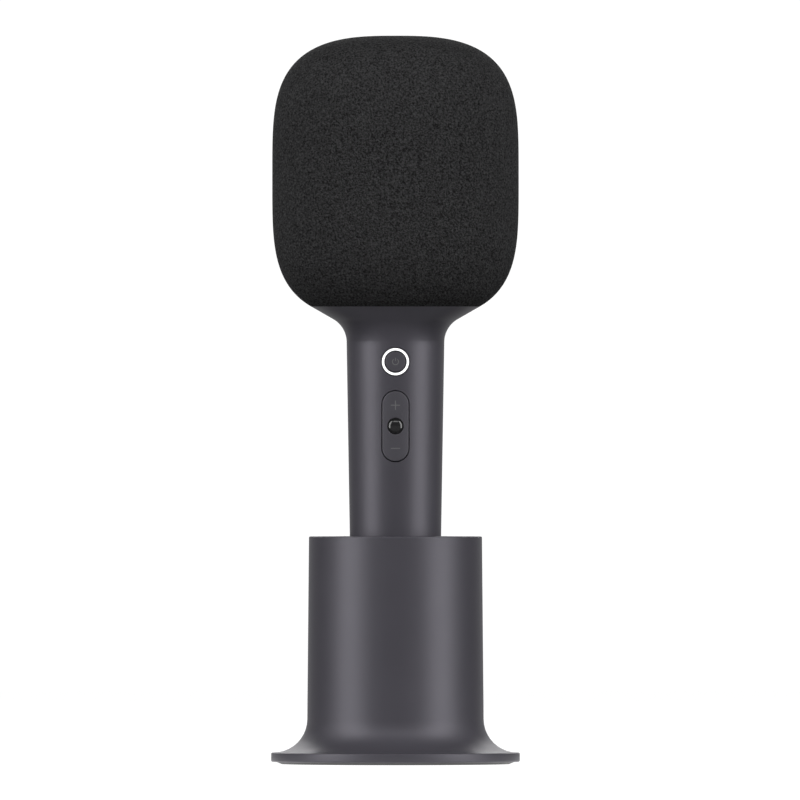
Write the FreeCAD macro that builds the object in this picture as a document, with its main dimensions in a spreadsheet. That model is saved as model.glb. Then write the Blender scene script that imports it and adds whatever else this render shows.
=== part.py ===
"""A handheld karaoke microphone with a built-in speaker, standing in its flared desk stand.

Millimetres, +Z up, the origin at the middle of the stand's underside, the buttons facing -Y.
Every driving dimension is a cell of the spreadsheet "Sizes", and each piece is an object whose
sizes are bound to those cells. The oval pieces of the head and neck, which no sketch or primitive
gives, are built by Part's own functions from the same cells.
"""

import FreeCAD, Part
import math
import os
import re

import Sketcher

SIZES = {
    "desk stand": {
        "stand_height": 81.3,
        "column_top_radius": 30.9,
        "column_foot_radius": 31.6,
        "flange_radius": 44.4,
        "flange_thickness": 3.3,
        "flare_radius": 12.0,
        "rim_round": 0.5,
        "stand_wall": 2.4,
        "deck_thickness": 3.0,
        "foot_thickness": 0.8,
        "foot_inset": 1.8,
        "foot_width": 8.6,
        "foot_bevel": 2.0,
        "flange_lip": 2.4,
        "base_plate_thickness": 2.0,
        "base_plate_gap": 0.2,
        "post_radius": 14.0,
        "post_wall": 2.0,
        "weight_headroom": 2.2,
        "weight_gap": 0.4,
        "stand_screw_inset": 4.8,
        "stand_screw_radius": 1.2,
        "stand_screw_head_radius": 2.4,
        "stand_screw_head_height": 1.1,
        "stand_screw_length": 12.0,
        "stand_boss_radius": 3.0,
        "stand_boss_height": 22.0,
    },
    "socket in the stand": {
        "socket_gap": 0.5,
        "socket_wall": 1.6,
        "socket_floor": 2.0,
        "socket_flange_width": 5.0,
        "socket_flange_thickness": 1.5,
        "pad_thickness": 1.0,
        "pad_inset": 2.46,
        "mouth_ring_gap": 0.4,
        "mouth_ring_width": 2.3,
        "mouth_ring_bevel": 0.6,
    },
    "microphone": {
        "rest_height": 30.0,
        "microphone_length": 230.0,
        "grip_bottom_radius": 15.46,
        "grip_taper": 0.0165,
        "grip_wall": 2.0,
        "cap_thickness": 2.8,
        "cap_groove": 0.2,
        "cap_bevel": 0.7,
        "cap_spigot_height": 5.2,
        "cap_spigot_wall": 1.4,
        "fit_gap": 0.2,
    },
    "head and neck": {
        "head_width": 88.0,
        "head_depth": 66.0,
        "head_height": 101.8,
        "head_corner_power": 2.87,
        "head_crown_power": 3.88,
        "seam_drop": 96.7,
        "neck_arc_radius": 9.3,
        "neck_lean": 60.0,
        "foam_thickness": 4.0,
        "grille_gap": 0.2,
        "grille_thickness": 1.5,
        "grille_split": 0.2,
        "grille_window_width": 9.0,
        "grille_window_height": 10.0,
        "grille_rib": 3.0,
        "frame_rise": 4.3,
        "frame_spigot": 2.0,
        "frame_pillar_radius": 11.0,
        "frame_screw_outset": 0.04,
        "frame_screw_radius": 1.0,
        "frame_screw_head_radius": 2.1,
        "frame_screw_head_height": 1.8,
        "frame_screw_length": 9.0,
        "frame_boss_radius": 2.6,
        "frame_boss_height": 10.0,
        "frame_hole_depth": 6.0,
        "lead_hole_radius": 1.6,
    },
    "controls": {
        "power_drop": 19.7,
        "power_hole_radius": 5.2,
        "ring_gap": 0.35,
        "ring_width": 0.85,
        "ring_skirt_wall": 0.4,
        "ring_flange_width": 1.05,
        "ring_flange_rise": 1.3,
        "ring_flange_thickness": 0.9,
        "ring_step_depth": 2.3,
        "power_button_gap": 0.38,
        "button_flange_overlap": 0.2,
        "button_flange_thickness": 0.8,
        "button_stem_radius": 1.0,
        "rocker_drop": 42.7,
        "rocker_slot_radius": 5.03,
        "rocker_slot_length": 25.7,
        "rocker_gap": 0.33,
        "rocker_back_depth": 1.75,
        "rocker_post_inset": 5.15,
        "button_trim": 2.0,
        "rocker_post_radius": 1.0,
        "rocker_switch_gap": 0.3,
        "rocker_hole_radius": 2.95,
        "rocker_ear_near": 3.6,
        "rocker_ear_far": 4.5,
        "rocker_ear_half_height": 1.4,
        "rocker_pivot_depth": 5.05,
        "pivot_pin_radius": 0.7,
        "pivot_pin_reach": 6.2,
        "pivot_gap": 0.05,
        "effect_button_gap": 0.35,
        "effect_button_proud": 0.35,
        "effect_button_round": 0.9,
        "effect_button_depth": 2.2,
        "effect_flange_overlap": 0.3,
        "effect_flange_thickness": 0.8,
    },
    "switches and board": {
        "board_inset": 3.76,
        "board_thickness": 1.2,
        "board_width": 17.0,
        "board_rise": 9.5,
        "board_top_drop": 9.8,
        "tongue_width": 11.0,
        "tongue_gap": 0.5,
        "switch_width": 4.5,
        "switch_height": 2.0,
        "switch_bore": 1.15,
        "switch_bore_depth": 1.2,
        "plunger_length": 1.2,
        "plunger_proud": 0.6,
        "carrier_rise": 1.9,
        "carrier_thickness": 1.2,
        "carrier_width": 16.0,
        "carrier_tail": 3.75,
        "carrier_crest": 5.4,
        "carrier_window": 5.1,
        "carrier_ring_seat": 0.25,
        "carrier_pad_radius": 1.4,
        "carrier_pad_inset": 1.7,
        "pivot_window_width": 9.6,
        "lug_near": 4.85,
        "lug_far": 6.35,
        "lug_half_height": 1.6,
        "lug_cover": 1.3,
        "led_size": 0.9,
        "led_thickness": 0.55,
        "led_inset": 0.7,
        "module_width": 12.0,
        "module_thickness": 2.2,
        "module_drop": 4.6,
        "module_length": 20.0,
    },
    "charging socket": {
        "usb_width": 8.94,
        "usb_thickness": 3.26,
        "usb_length": 7.35,
        "usb_wall": 0.3,
        "usb_inset": 0.5,
        "usb_tongue_thickness": 0.7,
        "usb_tongue_width": 6.7,
        "usb_tongue_inset": 1.0,
        "usb_clearance": 0.25,
    },
    "battery": {
        "cell_radius": 9.2,
        "cell_length": 65.0,
        "cell_front_gap": 1.3,
        "cell_rise": 13.5,
        "cell_button_radius": 3.0,
        "cell_button_height": 1.0,
        "tab_thickness": 0.5,
        "tab_width": 5.0,
        "cradle_gap": 0.2,
        "cradle_wall": 1.4,
        "cradle_end": 4.0,
        "cradle_top_end": 2.0,
        "cradle_opening": 4.0,
        "rail_near": 8.95,
        "rail_far": 10.2,
        "rail_back": 3.0,
        "rail_inset": 1.1,
        "bridge_height": 3.0,
        "bridge_depth": 3.4,
        "cap_screw_offset": 6.5,
        "cap_screw_back": 3.0,
        "cap_screw_radius": 0.9,
        "cap_screw_head_radius": 1.8,
        "cap_screw_head_height": 1.2,
        "cap_screw_length": 11.0,
        "cap_post_radius": 2.2,
        "board_screw_offset": 5.5,
        "board_screw_radius": 0.8,
        "board_screw_head_radius": 1.4,
        "board_screw_head_height": 0.8,
        "board_screw_length": 3.4,
    },
    "speaker": {
        "speaker_drop": 55.0,
        "box_radius": 31.0,
        "box_wall": 2.0,
        "box_front": 13.0,
        "box_back": 15.0,
        "baffle_thickness": 2.3,
        "gasket_thickness": 0.6,
        "driver_seat": 2.4,
        "baffle_screw_inset": 4.0,
        "baffle_screw_radius": 0.9,
        "baffle_screw_head_radius": 1.7,
        "baffle_screw_head_height": 0.9,
        "baffle_screw_length": 9.0,
        "baffle_boss_radius": 2.3,
        "driver_inset": 6.0,
        "frame_flange_thickness": 1.2,
        "frame_flange_width": 4.1,
        "frame_wall": 1.4,
        "frame_depth": 11.0,
        "frame_bend": 3.5,
        "frame_foot_round": 0.5,
        "frame_window_width": 10.4,
        "frame_window_height": 3.3,
        "frame_window_inset": 4.2,
        "frame_window_rise": 4.2,
        "spider_seat": 14.0,
        "spider_seat_wall": 1.6,
        "spider_seat_gap": 0.05,
        "coil_clearance": 0.6,
        "spider_ledge": 1.6,
        "spider_height": 2.1,
        "spider_thickness": 0.3,
        "motor_radius": 14.0,
        "top_plate_thickness": 2.0,
        "magnet_radius": 15.0,
        "magnet_bore": 8.0,
        "magnet_thickness": 5.5,
        "yoke_thickness": 2.0,
        "pole_radius": 5.95,
        "gap_radius": 6.75,
        "coil_radius": 6.15,
        "coil_wall": 0.4,
        "coil_length": 7.0,
        "cone_gap": 2.4,
        "cone_sink": 0.8,
        "cone_depth": 6.6,
        "cone_thickness": 0.5,
        "roll_width": 3.1,
        "roll_height": 1.5,
        "roll_lip": 0.8,
        "surround_edge": 0.6,
        "dust_cap_radius": 7.3,
        "dust_cap_rise": 2.2,
        "radiator_roll_width": 5.0,
        "radiator_thickness": 1.8,
        "radiator_hole_inset": 10.5,
        "radiator_lip_width": 2.5,
        "radiator_roll": 2.0,
    },
    "voice capsule": {
        "capsule_radius": 7.0,
        "capsule_height": 9.0,
        "capsule_drop": 19.5,
        "boot_wall": 2.0,
        "boot_height": 6.0,
        "bracket_wall": 2.0,
        "bracket_ring_height": 5.0,
        "bracket_bore": 6.0,
        "lead_radius": 0.7,
        "lead_bend": 4.0,
        "lead_reach": 5.0,
        "lead_rise": 3.5,
        "lead_edge": 1.3,
        "speaker_lead_drop": 6.5,
        "capsule_lead_drop": 10.5,
    },
}

doc = FreeCAD.newDocument("karaoke_microphone")
sheet = doc.addObject("Spreadsheet::Sheet", "Sizes")


def fill_sheet():
    """One row for each size: its name, and its plain value under an alias."""
    row = 1
    for group, cells in SIZES.items():
        sheet.set(f"A{row}", group)
        row += 1
        for alias, value in cells.items():
            sheet.set(f"A{row}", alias)
            sheet.set(f"B{row}", str(value))
            sheet.setAlias(f"B{row}", alias)
            row += 1
    doc.recompute()


fill_sheet()

ALIASES = {alias for cells in SIZES.values() for alias in cells}
WORD = re.compile(r"[a-z][a-z_0-9]*")

# Places and sizes that follow from the cells, where several pieces meet or line up.
WORKED_OUT = {
    "flange_top": "foot_thickness + flange_thickness",
    "plate_top": "foot_thickness + base_plate_thickness",
    "deck_under": "stand_height - deck_thickness",
    "pad_under": "rest_height - pad_thickness",
    "cup_under": "pad_under - socket_floor",
    "foot_outer_radius": "flange_radius - foot_inset",
    "foot_inner_radius": "foot_outer_radius - foot_width",
    "stand_screw_circle": "column_foot_radius - stand_screw_inset",
    "weight_radius": "column_top_radius - stand_wall - weight_gap",
    "weight_height": "cup_under - plate_top - weight_headroom",
    "mouth_radius": "grip_bottom_radius + grip_taper * (stand_height - rest_height)",
    "mouth_ring_bore": "mouth_radius + mouth_ring_gap",
    "mouth_ring_radius": "mouth_ring_bore + mouth_ring_width",
    "socket_flange_radius": "mouth_ring_radius + socket_flange_width",
    "pad_radius": "grip_bottom_radius - pad_inset",
    "shell_bottom": "rest_height + cap_thickness",
    "seam_height": "rest_height + microphone_length - seam_drop",
    "frame_screw_offset": "grip_bottom_radius + frame_screw_outset",
    "speaker_height": "rest_height + microphone_length - speaker_drop",
    "capsule_base": "rest_height + microphone_length - capsule_drop",
    "power_height": "seam_height - power_drop",
    "power_face": "grip_bottom_radius + grip_taper * (power_height - rest_height)",
    "ring_radius": "power_hole_radius - ring_gap",
    "ring_bore": "ring_radius - ring_width",
    "ring_skirt_bore": "ring_radius - ring_skirt_wall",
    "ring_flange_radius": "ring_radius + ring_flange_width",
    "ring_step": "power_face - ring_step_depth",
    "ring_flange": "switch_front + ring_flange_rise + ring_flange_thickness",
    "power_button_radius": "ring_bore - power_button_gap",
    "button_flange_radius": "ring_bore + button_flange_overlap",
    "rocker_height": "seam_height - rocker_drop",
    "rocker_face": "grip_bottom_radius + grip_taper * (rocker_height - rest_height)",
    "rocker_post_offset": "rocker_slot_length / 2 - rocker_post_inset",
    "pivot_depth": "rocker_face - rocker_pivot_depth",
    "effect_button_radius": "rocker_hole_radius - effect_button_gap",
    "effect_flange_radius": "rocker_hole_radius + effect_flange_overlap",
    "board_front": "grip_bottom_radius - grip_wall - board_inset",
    "board_back": "board_front - board_thickness",
    "board_bottom": "rest_height + board_rise",
    "board_top": "seam_height - board_top_drop",
    "tongue_bottom": "shell_bottom + tongue_gap",
    "switch_front": "board_front + switch_height",
    "plunger_tip": "switch_front + plunger_proud",
    "carrier_front": "board_front + carrier_rise",
    "carrier_bottom": "rocker_height - rocker_slot_length / 2 - carrier_tail",
    "carrier_top": "power_height + carrier_crest",
    "carrier_ring_hole": "ring_radius - carrier_ring_seat",
    "lug_top": "pivot_depth + lug_cover",
    "led_circle": "ring_radius - led_inset",
    "module_bottom": "rocker_height - module_drop",
    "usb_bottom": "rest_height + usb_inset",
    "cell_offset": "cell_radius + cell_front_gap - board_back",
    "cell_bottom": "rest_height + cell_rise",
    "cell_top": "cell_bottom + cell_length",
    "cradle_low": "cell_bottom - tab_thickness - cradle_end",
    "rail_top": "board_top - rail_inset",
    "board_screw_height": "rail_top - bridge_height / 2",
    "cap_screw_place": "cell_offset + cap_screw_back",
    "baffle_back": "box_front + gasket_thickness",
    "baffle_face": "baffle_back + baffle_thickness",
    "baffle_screw_circle": "box_radius - baffle_screw_inset",
    "flange_back": "baffle_face + gasket_thickness",
    "flange_face": "flange_back + frame_flange_thickness",
    "frame_flange_radius": "box_radius - driver_inset",
    "frame_throat_radius": "frame_flange_radius - frame_flange_width",
    "baffle_hole": "frame_flange_radius - driver_seat",
    "motor_face": "flange_back - frame_depth",
    "magnet_face": "motor_face - top_plate_thickness",
    "yoke_face": "magnet_face - magnet_thickness",
    "spider_face": "motor_face + spider_height",
    "coil_outside": "coil_radius + coil_wall",
    "cone_radius": "frame_throat_radius - cone_gap",
    "cone_rim": "flange_face - cone_sink",
    "cone_throat": "cone_rim - cone_depth",
    "radiator_hole": "box_radius - radiator_hole_inset",
    "radiator_radius": "radiator_hole - radiator_roll_width",
    "radiator_lip": "radiator_hole + radiator_lip_width",
}


def bound(text):
    """An expression on the sheet's cells, with each worked-out name written out in full."""

    def written(match):
        word = match[0]
        if word in WORKED_OUT:
            return f"({bound(WORKED_OUT[word])})"
        return f"Sizes.{word}" if word in ALIASES else word

    return WORD.sub(written, str(text))


def keep_levels():
    """The worked-out places and sizes as numbers, for the pieces that Part's functions build."""
    kept = doc.addObject("App::VarSet", "Levels")
    for name, text in WORKED_OUT.items():
        kept.addProperty("App::PropertyFloat", name, "Levels")
        kept.setExpression(name, bound(text))
    doc.recompute()
    return kept


levels = keep_levels()


def grip_radius(height):
    """The handle's outer radius at a height, as an expression."""
    return f"(grip_bottom_radius + grip_taper * ({height} - rest_height))"


# ---- small vocabulary of parametric pieces -------------------------------------------------

TURN = {
    "Z": FreeCAD.Rotation(),
    "X": FreeCAD.Rotation(FreeCAD.Vector(0, 1, 0), 90),
    "Y": FreeCAD.Rotation(FreeCAD.Vector(1, 0, 0), -90),
}


def place(piece, at):
    """Binds a piece's position to three expressions."""
    for axis, text in zip("xyz", at):
        piece.setExpression(f"Placement.Base.{axis}", bound(text))
    return piece


def cylinder(name, radius, length, at=(0, 0, 0), along="Z"):
    """A cylinder from at, running towards the positive end of an axis."""
    piece = doc.addObject("Part::Cylinder", name)
    piece.Placement.Rotation = TURN[along]
    piece.setExpression("Radius", bound(radius))
    piece.setExpression("Height", bound(length))
    return place(piece, at)


def box(name, size, at):
    """A box of three sizes with its lowest corner at a point."""
    piece = doc.addObject("Part::Box", name)
    for side, text in zip(("Length", "Width", "Height"), size):
        piece.setExpression(side, bound(text))
    return place(piece, at)


def fuse(name, pieces):
    """Several pieces as one solid."""
    piece = doc.addObject("Part::MultiFuse", name)
    piece.Shapes = pieces
    piece.Refine = True
    return piece


def cut(name, base, tools):
    """A piece less one or more tools."""
    tool = tools[0] if len(tools) == 1 else fuse(name + "_tools", tools)
    piece = doc.addObject("Part::Cut", name)
    piece.Base, piece.Tool = base, tool
    return piece


def common(name, base, tool):
    """What two pieces share."""
    piece = doc.addObject("Part::Common", name)
    piece.Base, piece.Tool = base, tool
    return piece


def group(name, pieces):
    """Identical loose solids kept together as one sub-part."""
    piece = doc.addObject("Part::Compound", name)
    piece.Links = pieces
    return piece


def closed_outline(sketch, outline):
    """Draws a closed outline of straight edges whose corners are bound to expressions."""
    count = len(outline)
    corner = [
        FreeCAD.Vector(math.cos(math.tau * i / count), math.sin(math.tau * i / count), 0)
        for i in range(count)
    ]
    for i in range(count):
        sketch.addGeometry(Part.LineSegment(corner[i], corner[(i + 1) % count]), False)
    for i in range(count):
        sketch.addConstraint(Sketcher.Constraint("Coincident", i, 2, (i + 1) % count, 1))
    for i, point in enumerate(outline):
        for kind, text in zip(("DistanceX", "DistanceY"), point):
            made = sketch.addConstraint(Sketcher.Constraint(kind, -1, 1, i, 1, 1.0))
            sketch.setExpression(f"Constraints[{made}]", bound(text))


def sketch_on(body, name, role):
    """A sketch on one of a body's own origin planes."""
    sketch = body.newObject("Sketcher::SketchObject", name)
    plane = next(f for f in body.Origin.OriginFeatures if f.Role == role)
    sketch.AttachmentSupport = [(plane, "")]
    sketch.MapMode = "FlatFace"
    return sketch


def turned(name, outline, axis="Z", centre=(0, 0, 0)):
    """A body of revolution. Its outline's corners are (radius, distance along the axis)."""
    body = doc.addObject("PartDesign::Body", name)
    sketch = sketch_on(body, name + "_outline", {"Z": "XZ_Plane", "Y": "XY_Plane"}[axis])
    closed_outline(sketch, outline)
    turn = body.newObject("PartDesign::Revolution", name + "_turn")
    turn.Profile = sketch
    turn.ReferenceAxis = (sketch, ["V_Axis"])
    turn.Angle = 360
    body.Tip = turn
    return place(body, centre)


def ring_edges(body, radius, height=None, axis="z"):
    """The names of a body's circular edges of one radius, at one distance along an axis."""
    doc.recompute()
    found = []
    for number, edge in enumerate(body.Tip.Shape.Edges, 1):
        curve = edge.Curve
        if not isinstance(curve, Part.Circle) or abs(curve.Radius - radius) > 0.01:
            continue
        if height is None or abs(getattr(curve.Center, axis) - height) < 0.01:
            found.append(f"Edge{number}")
    return found


def dress(body, kind, names, size):
    """A Fillet or Chamfer on the named edges of a body's last feature."""
    last = body.Tip
    piece = body.newObject(f"PartDesign::{kind}", f"{body.Name}_{kind.lower()}")
    piece.Base = (last, names)
    piece.setExpression("Radius" if kind == "Fillet" else "Size", bound(size))
    body.Tip = piece
    return piece


def circle_of(text_radius, angle):
    """The x and y expressions of a point on a circle."""
    return f"{text_radius} * cos({angle})", f"{text_radius} * sin({angle})"


def screw(name, shank, length, head, head_height, at, along="Z", towards=1):
    """A plain screw from under its head: a shank one way and a cylinder head the other."""
    index = "XYZ".index(along)
    start, seat = list(at), list(at)
    if towards > 0:
        seat[index] = f"{at[index]} - {head_height}"
    else:
        start[index] = f"{at[index]} - {length}"
    return fuse(
        name,
        [
            cylinder(name + "_shank", shank, length, start, along),
            cylinder(name + "_head", head, head_height, seat, along),
        ],
    )


# ---- desk stand ----------------------------------------------------------------------------


def stand_shell():
    """The moulded column with its flared foot, closed on top by a deck with the socket's hole."""
    column = turned(
        "stand_column",
        [
            (0, "foot_thickness"),
            ("flange_radius", "foot_thickness"),
            ("flange_radius", "flange_top"),
            ("column_foot_radius", "flange_top"),
            ("column_top_radius", "stand_height"),
            (0, "stand_height"),
        ],
    )
    flare = ring_edges(column, sheet.column_foot_radius, levels.flange_top)
    dress(column, "Fillet", flare, "flare_radius")
    rims = ring_edges(column, sheet.column_top_radius, sheet.stand_height)
    rims += ring_edges(column, sheet.flange_radius)
    dress(column, "Fillet", rims, "rim_round")
    hollow = turned(
        "stand_hollow",
        [
            (0, "foot_thickness"),
            ("flange_radius - flange_lip", "foot_thickness"),
            ("flange_radius - flange_lip", "plate_top"),
            ("column_foot_radius + 0.5 * flare_radius - stand_wall", "plate_top"),
            ("column_foot_radius - stand_wall", "flange_top + flare_radius - stand_wall"),
            ("column_top_radius - stand_wall", "deck_under"),
            ("mouth_ring_radius", "deck_under"),
            ("mouth_ring_radius", "stand_height"),
            (0, "stand_height"),
        ],
    )
    bosses, pilots = [cut("stand_skin", column, [hollow])], []
    for number, angle in enumerate((45, 135, 225, 315), 1):
        x, y = circle_of("stand_screw_circle", angle)
        at = (x, y, "plate_top")
        bosses.append(
            cylinder(f"stand_boss_{number}", "stand_boss_radius", "stand_boss_height", at)
        )
        pilots.append(
            cylinder(
                f"stand_pilot_{number}",
                "stand_screw_radius + pivot_gap",
                "stand_screw_length",
                at,
            )
        )
    return cut("stand_shell", fuse("stand_shell_body", bosses), pilots)


def base_plate():
    """The cover under the stand, with the tubular post that carries the socket's floor."""
    body = turned(
        "base_disc",
        [
            (0, "foot_thickness"),
            ("flange_radius - flange_lip - base_plate_gap", "foot_thickness"),
            ("flange_radius - flange_lip - base_plate_gap", "plate_top"),
            ("post_radius", "plate_top"),
            ("post_radius", "cup_under"),
            ("post_radius - post_wall", "cup_under"),
            ("post_radius - post_wall", "plate_top"),
            (0, "plate_top"),
        ],
    )
    holes = []
    for number, angle in enumerate((45, 135, 225, 315), 1):
        x, y = circle_of("stand_screw_circle", angle)
        at = (x, y, "foot_thickness")
        holes.append(
            cylinder(
                f"plate_hole_{number}",
                "stand_screw_radius + base_plate_gap",
                "base_plate_thickness",
                at,
            )
        )
        holes.append(
            cylinder(
                f"plate_sink_{number}",
                "stand_screw_head_radius + base_plate_gap",
                "stand_screw_head_height",
                at,
            )
        )
    return cut("base_plate", body, holes)


def stand_weight():
    """The steel ballast round the post, notched for the four screw bosses."""
    body = turned(
        "stand_weight",
        [
            ("post_radius + weight_gap", "plate_top"),
            ("weight_radius", "plate_top"),
            ("weight_radius", "plate_top + weight_height"),
            ("post_radius + weight_gap", "plate_top + weight_height"),
        ],
    )
    notch = sketch_on(body, "stand_weight_notch_circle", "XY_Plane")
    notch.setExpression("AttachmentOffset.Base.z", bound("plate_top"))
    centre = FreeCAD.Vector(1, 1, 0)
    notch.addGeometry(Part.Circle(centre, FreeCAD.Vector(0, 0, 1), 1), False)
    for kind, text in (("DistanceX", "cos(45)"), ("DistanceY", "sin(45)")):
        made = notch.addConstraint(Sketcher.Constraint(kind, -1, 1, 0, 3, 1.0))
        notch.setExpression(f"Constraints[{made}]", bound(f"stand_screw_circle * {text}"))
    made = notch.addConstraint(Sketcher.Constraint("Radius", 0, 1.0))
    notch.setExpression(f"Constraints[{made}]", bound("stand_boss_radius + weight_gap"))
    doc.recompute()
    whole = body.Tip.Shape.Volume
    pocket = body.newObject("PartDesign::Pocket", "stand_weight_notch")
    pocket.Profile = notch
    pocket.setExpression("Length", bound("weight_height"))
    pocket.Reversed = True
    body.Tip = pocket
    doc.recompute()
    if pocket.Shape.Volume >= whole:
        raise SystemExit("stand_weight: the notch cuts nothing")
    pattern = body.newObject("PartDesign::PolarPattern", "stand_weight_notches")
    pattern.Originals = [pocket]
    axis = next(f for f in body.Origin.OriginFeatures if f.Role == "Z_Axis")
    pattern.Axis = (axis, [""])
    pattern.Angle = 360
    pattern.Occurrences = 4
    body.Tip = pattern
    return body


def stand_screws():
    """The four screws that hold the base plate to the shell's bosses."""
    screws = []
    for number, angle in enumerate((45, 135, 225, 315), 1):
        x, y = circle_of("stand_screw_circle", angle)
        screws.append(
            screw(
                f"stand_screw_{number}",
                "stand_screw_radius",
                "stand_screw_length",
                "stand_screw_head_radius",
                "stand_screw_head_height",
                (x, y, "foot_thickness + stand_screw_head_height"),
            )
        )
    return group("stand_screws", screws)


def socket_cup():
    """The tapered cup that takes the handle, hung under the deck and stood on the post."""
    mouth = grip_radius("deck_under")
    floor = grip_radius("pad_under")
    return turned(
        "socket_cup",
        [
            (0, "cup_under"),
            (f"{floor} + socket_gap + socket_wall", "cup_under"),
            (
                f"{mouth} + socket_gap + socket_wall",
                "deck_under - socket_flange_thickness",
            ),
            ("socket_flange_radius", "deck_under - socket_flange_thickness"),
            ("socket_flange_radius", "deck_under"),
            (f"{mouth} + socket_gap", "deck_under"),
            (f"{floor} + socket_gap", "pad_under"),
            (0, "pad_under"),
        ],
    )


def mouth_ring():
    """The soft ring in the deck's hole, which steadies the handle."""
    return turned(
        "mouth_ring",
        [
            ("mouth_ring_bore", "deck_under"),
            ("mouth_ring_radius", "deck_under"),
            ("mouth_ring_radius", "stand_height"),
            ("mouth_ring_bore + mouth_ring_bevel", "stand_height"),
            ("mouth_ring_bore", "stand_height - mouth_ring_bevel"),
        ],
    )


def socket_pad():
    """The rubber disc on the socket's floor, on which the microphone stands."""
    return turned(
        "socket_pad",
        [(0, "pad_under"), ("pad_radius", "pad_under"), ("pad_radius", "rest_height"), (0, "rest_height")],
    )


def foot_ring():
    """The rubber ring under the foot, with a bevelled outer edge."""
    return turned(
        "foot_ring",
        [
            ("foot_inner_radius", 0),
            ("foot_outer_radius - foot_bevel", 0),
            ("foot_outer_radius", "foot_thickness"),
            ("foot_inner_radius", "foot_thickness"),
        ],
    )


# ---- shapes of the oval head and neck ------------------------------------------------------

HEAD_MIDDLE = sheet.rest_height + sheet.microphone_length - sheet.head_height / 2
SEAM_HEIGHT = levels.seam_height
CROWN_SHARE = 0.16
LEVELS = 17
OVAL_POINTS = 36


def grip_radius_at(height):
    """The handle's outer radius at a height, as a number."""
    return sheet.grip_bottom_radius + sheet.grip_taper * (height - sheet.rest_height)


def oval(half_x, half_y, power, height):
    """A closed smooth outline |x/half_x|^power + |y/half_y|^power = 1 at a height."""
    points = []
    for number in range(OVAL_POINTS):
        angle = math.tau * (number + 0.5) / OVAL_POINTS
        c, s = math.cos(angle), math.sin(angle)
        reach = (abs(c) ** power + abs(s) ** power) ** (-1 / power)
        points.append(FreeCAD.Vector(half_x * reach * c, half_y * reach * s, height))
    curve = Part.BSplineCurve()
    curve.interpolate(Points=points, PeriodicFlag=True)
    return Part.Wire([curve.toShape()])


def head_share(height, inset):
    """How wide the head is at a height, as a share of its full width, inset from its skin."""
    rise = abs(height - HEAD_MIDDLE) / (sheet.head_height / 2 - inset)
    return max(0.0, 1 - rise**sheet.head_crown_power) ** (1 / sheet.head_corner_power)


def head_half(height, inset):
    """The head's half width and half depth at a height."""
    share = head_share(height, inset)
    return (sheet.head_width / 2 - inset) * share, (sheet.head_depth / 2 - inset) * share


def share_height(share, inset):
    """The height above the head's middle at which its section is a share of the full one."""
    rise = (1 - share**sheet.head_corner_power) ** (1 / sheet.head_crown_power)
    return rise * (sheet.head_height / 2 - inset)


def head_solid(inset, bottom):
    """The head's rounded box, inset from its skin and cut level at a bottom height."""
    power = sheet.head_corner_power
    low = math.asin(min(1.0, (bottom - HEAD_MIDDLE) / (sheet.head_height / 2 - inset)))
    high = math.asin(share_height(CROWN_SHARE, inset) / (sheet.head_height / 2 - inset))
    wires = []
    for number in range(LEVELS):
        angle = low + (high - low) * number / (LEVELS - 1)
        height = HEAD_MIDDLE + (sheet.head_height / 2 - inset) * math.sin(angle)
        wires.append(oval(*head_half(height, inset), power, height))
    return Part.makeLoft(wires, True, False)


def neck_start():
    """The height at which the handle's straight taper gives way to the neck's flare."""
    push = head_half(SEAM_HEIGHT, 0)[0] - grip_radius_at(SEAM_HEIGHT)
    lean = math.radians(sheet.neck_lean)
    arc = sheet.neck_arc_radius
    straight = (push - arc * (1 - math.cos(lean))) / math.tan(lean)
    return SEAM_HEIGHT - straight - arc * math.sin(lean)


def neck_push(height, arc):
    """How far the neck stands out from the handle's taper: an arc, then a straight lean."""
    lean = math.radians(sheet.neck_lean)
    rise = height - neck_start()
    if rise <= arc * math.sin(lean):
        return arc - math.sqrt(arc**2 - rise**2)
    return arc * (1 - math.cos(lean)) + (rise - arc * math.sin(lean)) * math.tan(lean)


def neck_half(height, wall):
    """The neck's half width and half depth at a height, a wall's thickness inside its skin."""
    seam_x, seam_y = head_half(SEAM_HEIGHT, 0)
    grip = grip_radius_at(SEAM_HEIGHT)
    flatness = (seam_y - grip) / (seam_x - grip)
    push = neck_push(height, sheet.neck_arc_radius + wall)
    base = grip_radius_at(height) - wall
    return base + push, base + push * flatness


def neck_power(height):
    """How square the neck's outline is at a height, from a circle up to the head's oval."""
    blend = (height - neck_start()) / (SEAM_HEIGHT - neck_start())
    return 2 + (sheet.head_corner_power - 2) * blend


def neck_solid(wall):
    """The flare between the round handle and the oval head, a wall's thickness inside its skin."""
    lean = math.radians(sheet.neck_lean)
    start = neck_start()
    bend = (sheet.neck_arc_radius + wall) * math.sin(lean)
    heights = [start + bend * math.sin(math.pi / 2 * i / 6) for i in range(7)]
    heights += [start + bend + (SEAM_HEIGHT - start - bend) * i / 2 for i in (1, 2)]
    wires = [oval(*neck_half(height, wall), neck_power(height), height) for height in heights]
    return Part.makeLoft(wires, True, False)


def prism(halves, power, low, high):
    """A straight oval block between two heights."""
    face = Part.Face(oval(*halves, power, low))
    return face.extrude(FreeCAD.Vector(0, 0, high - low))


def upright(radius, low, high, x=0, y=0):
    """A plain upright cylinder between two heights."""
    return Part.makeCylinder(radius, high - low, FreeCAD.Vector(x, y, low))


def feature(name, shape):
    """A Part::Feature that holds a shape made by Part's functions."""
    piece = doc.addObject("Part::Feature", name)
    piece.Shape = shape
    return piece


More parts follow.
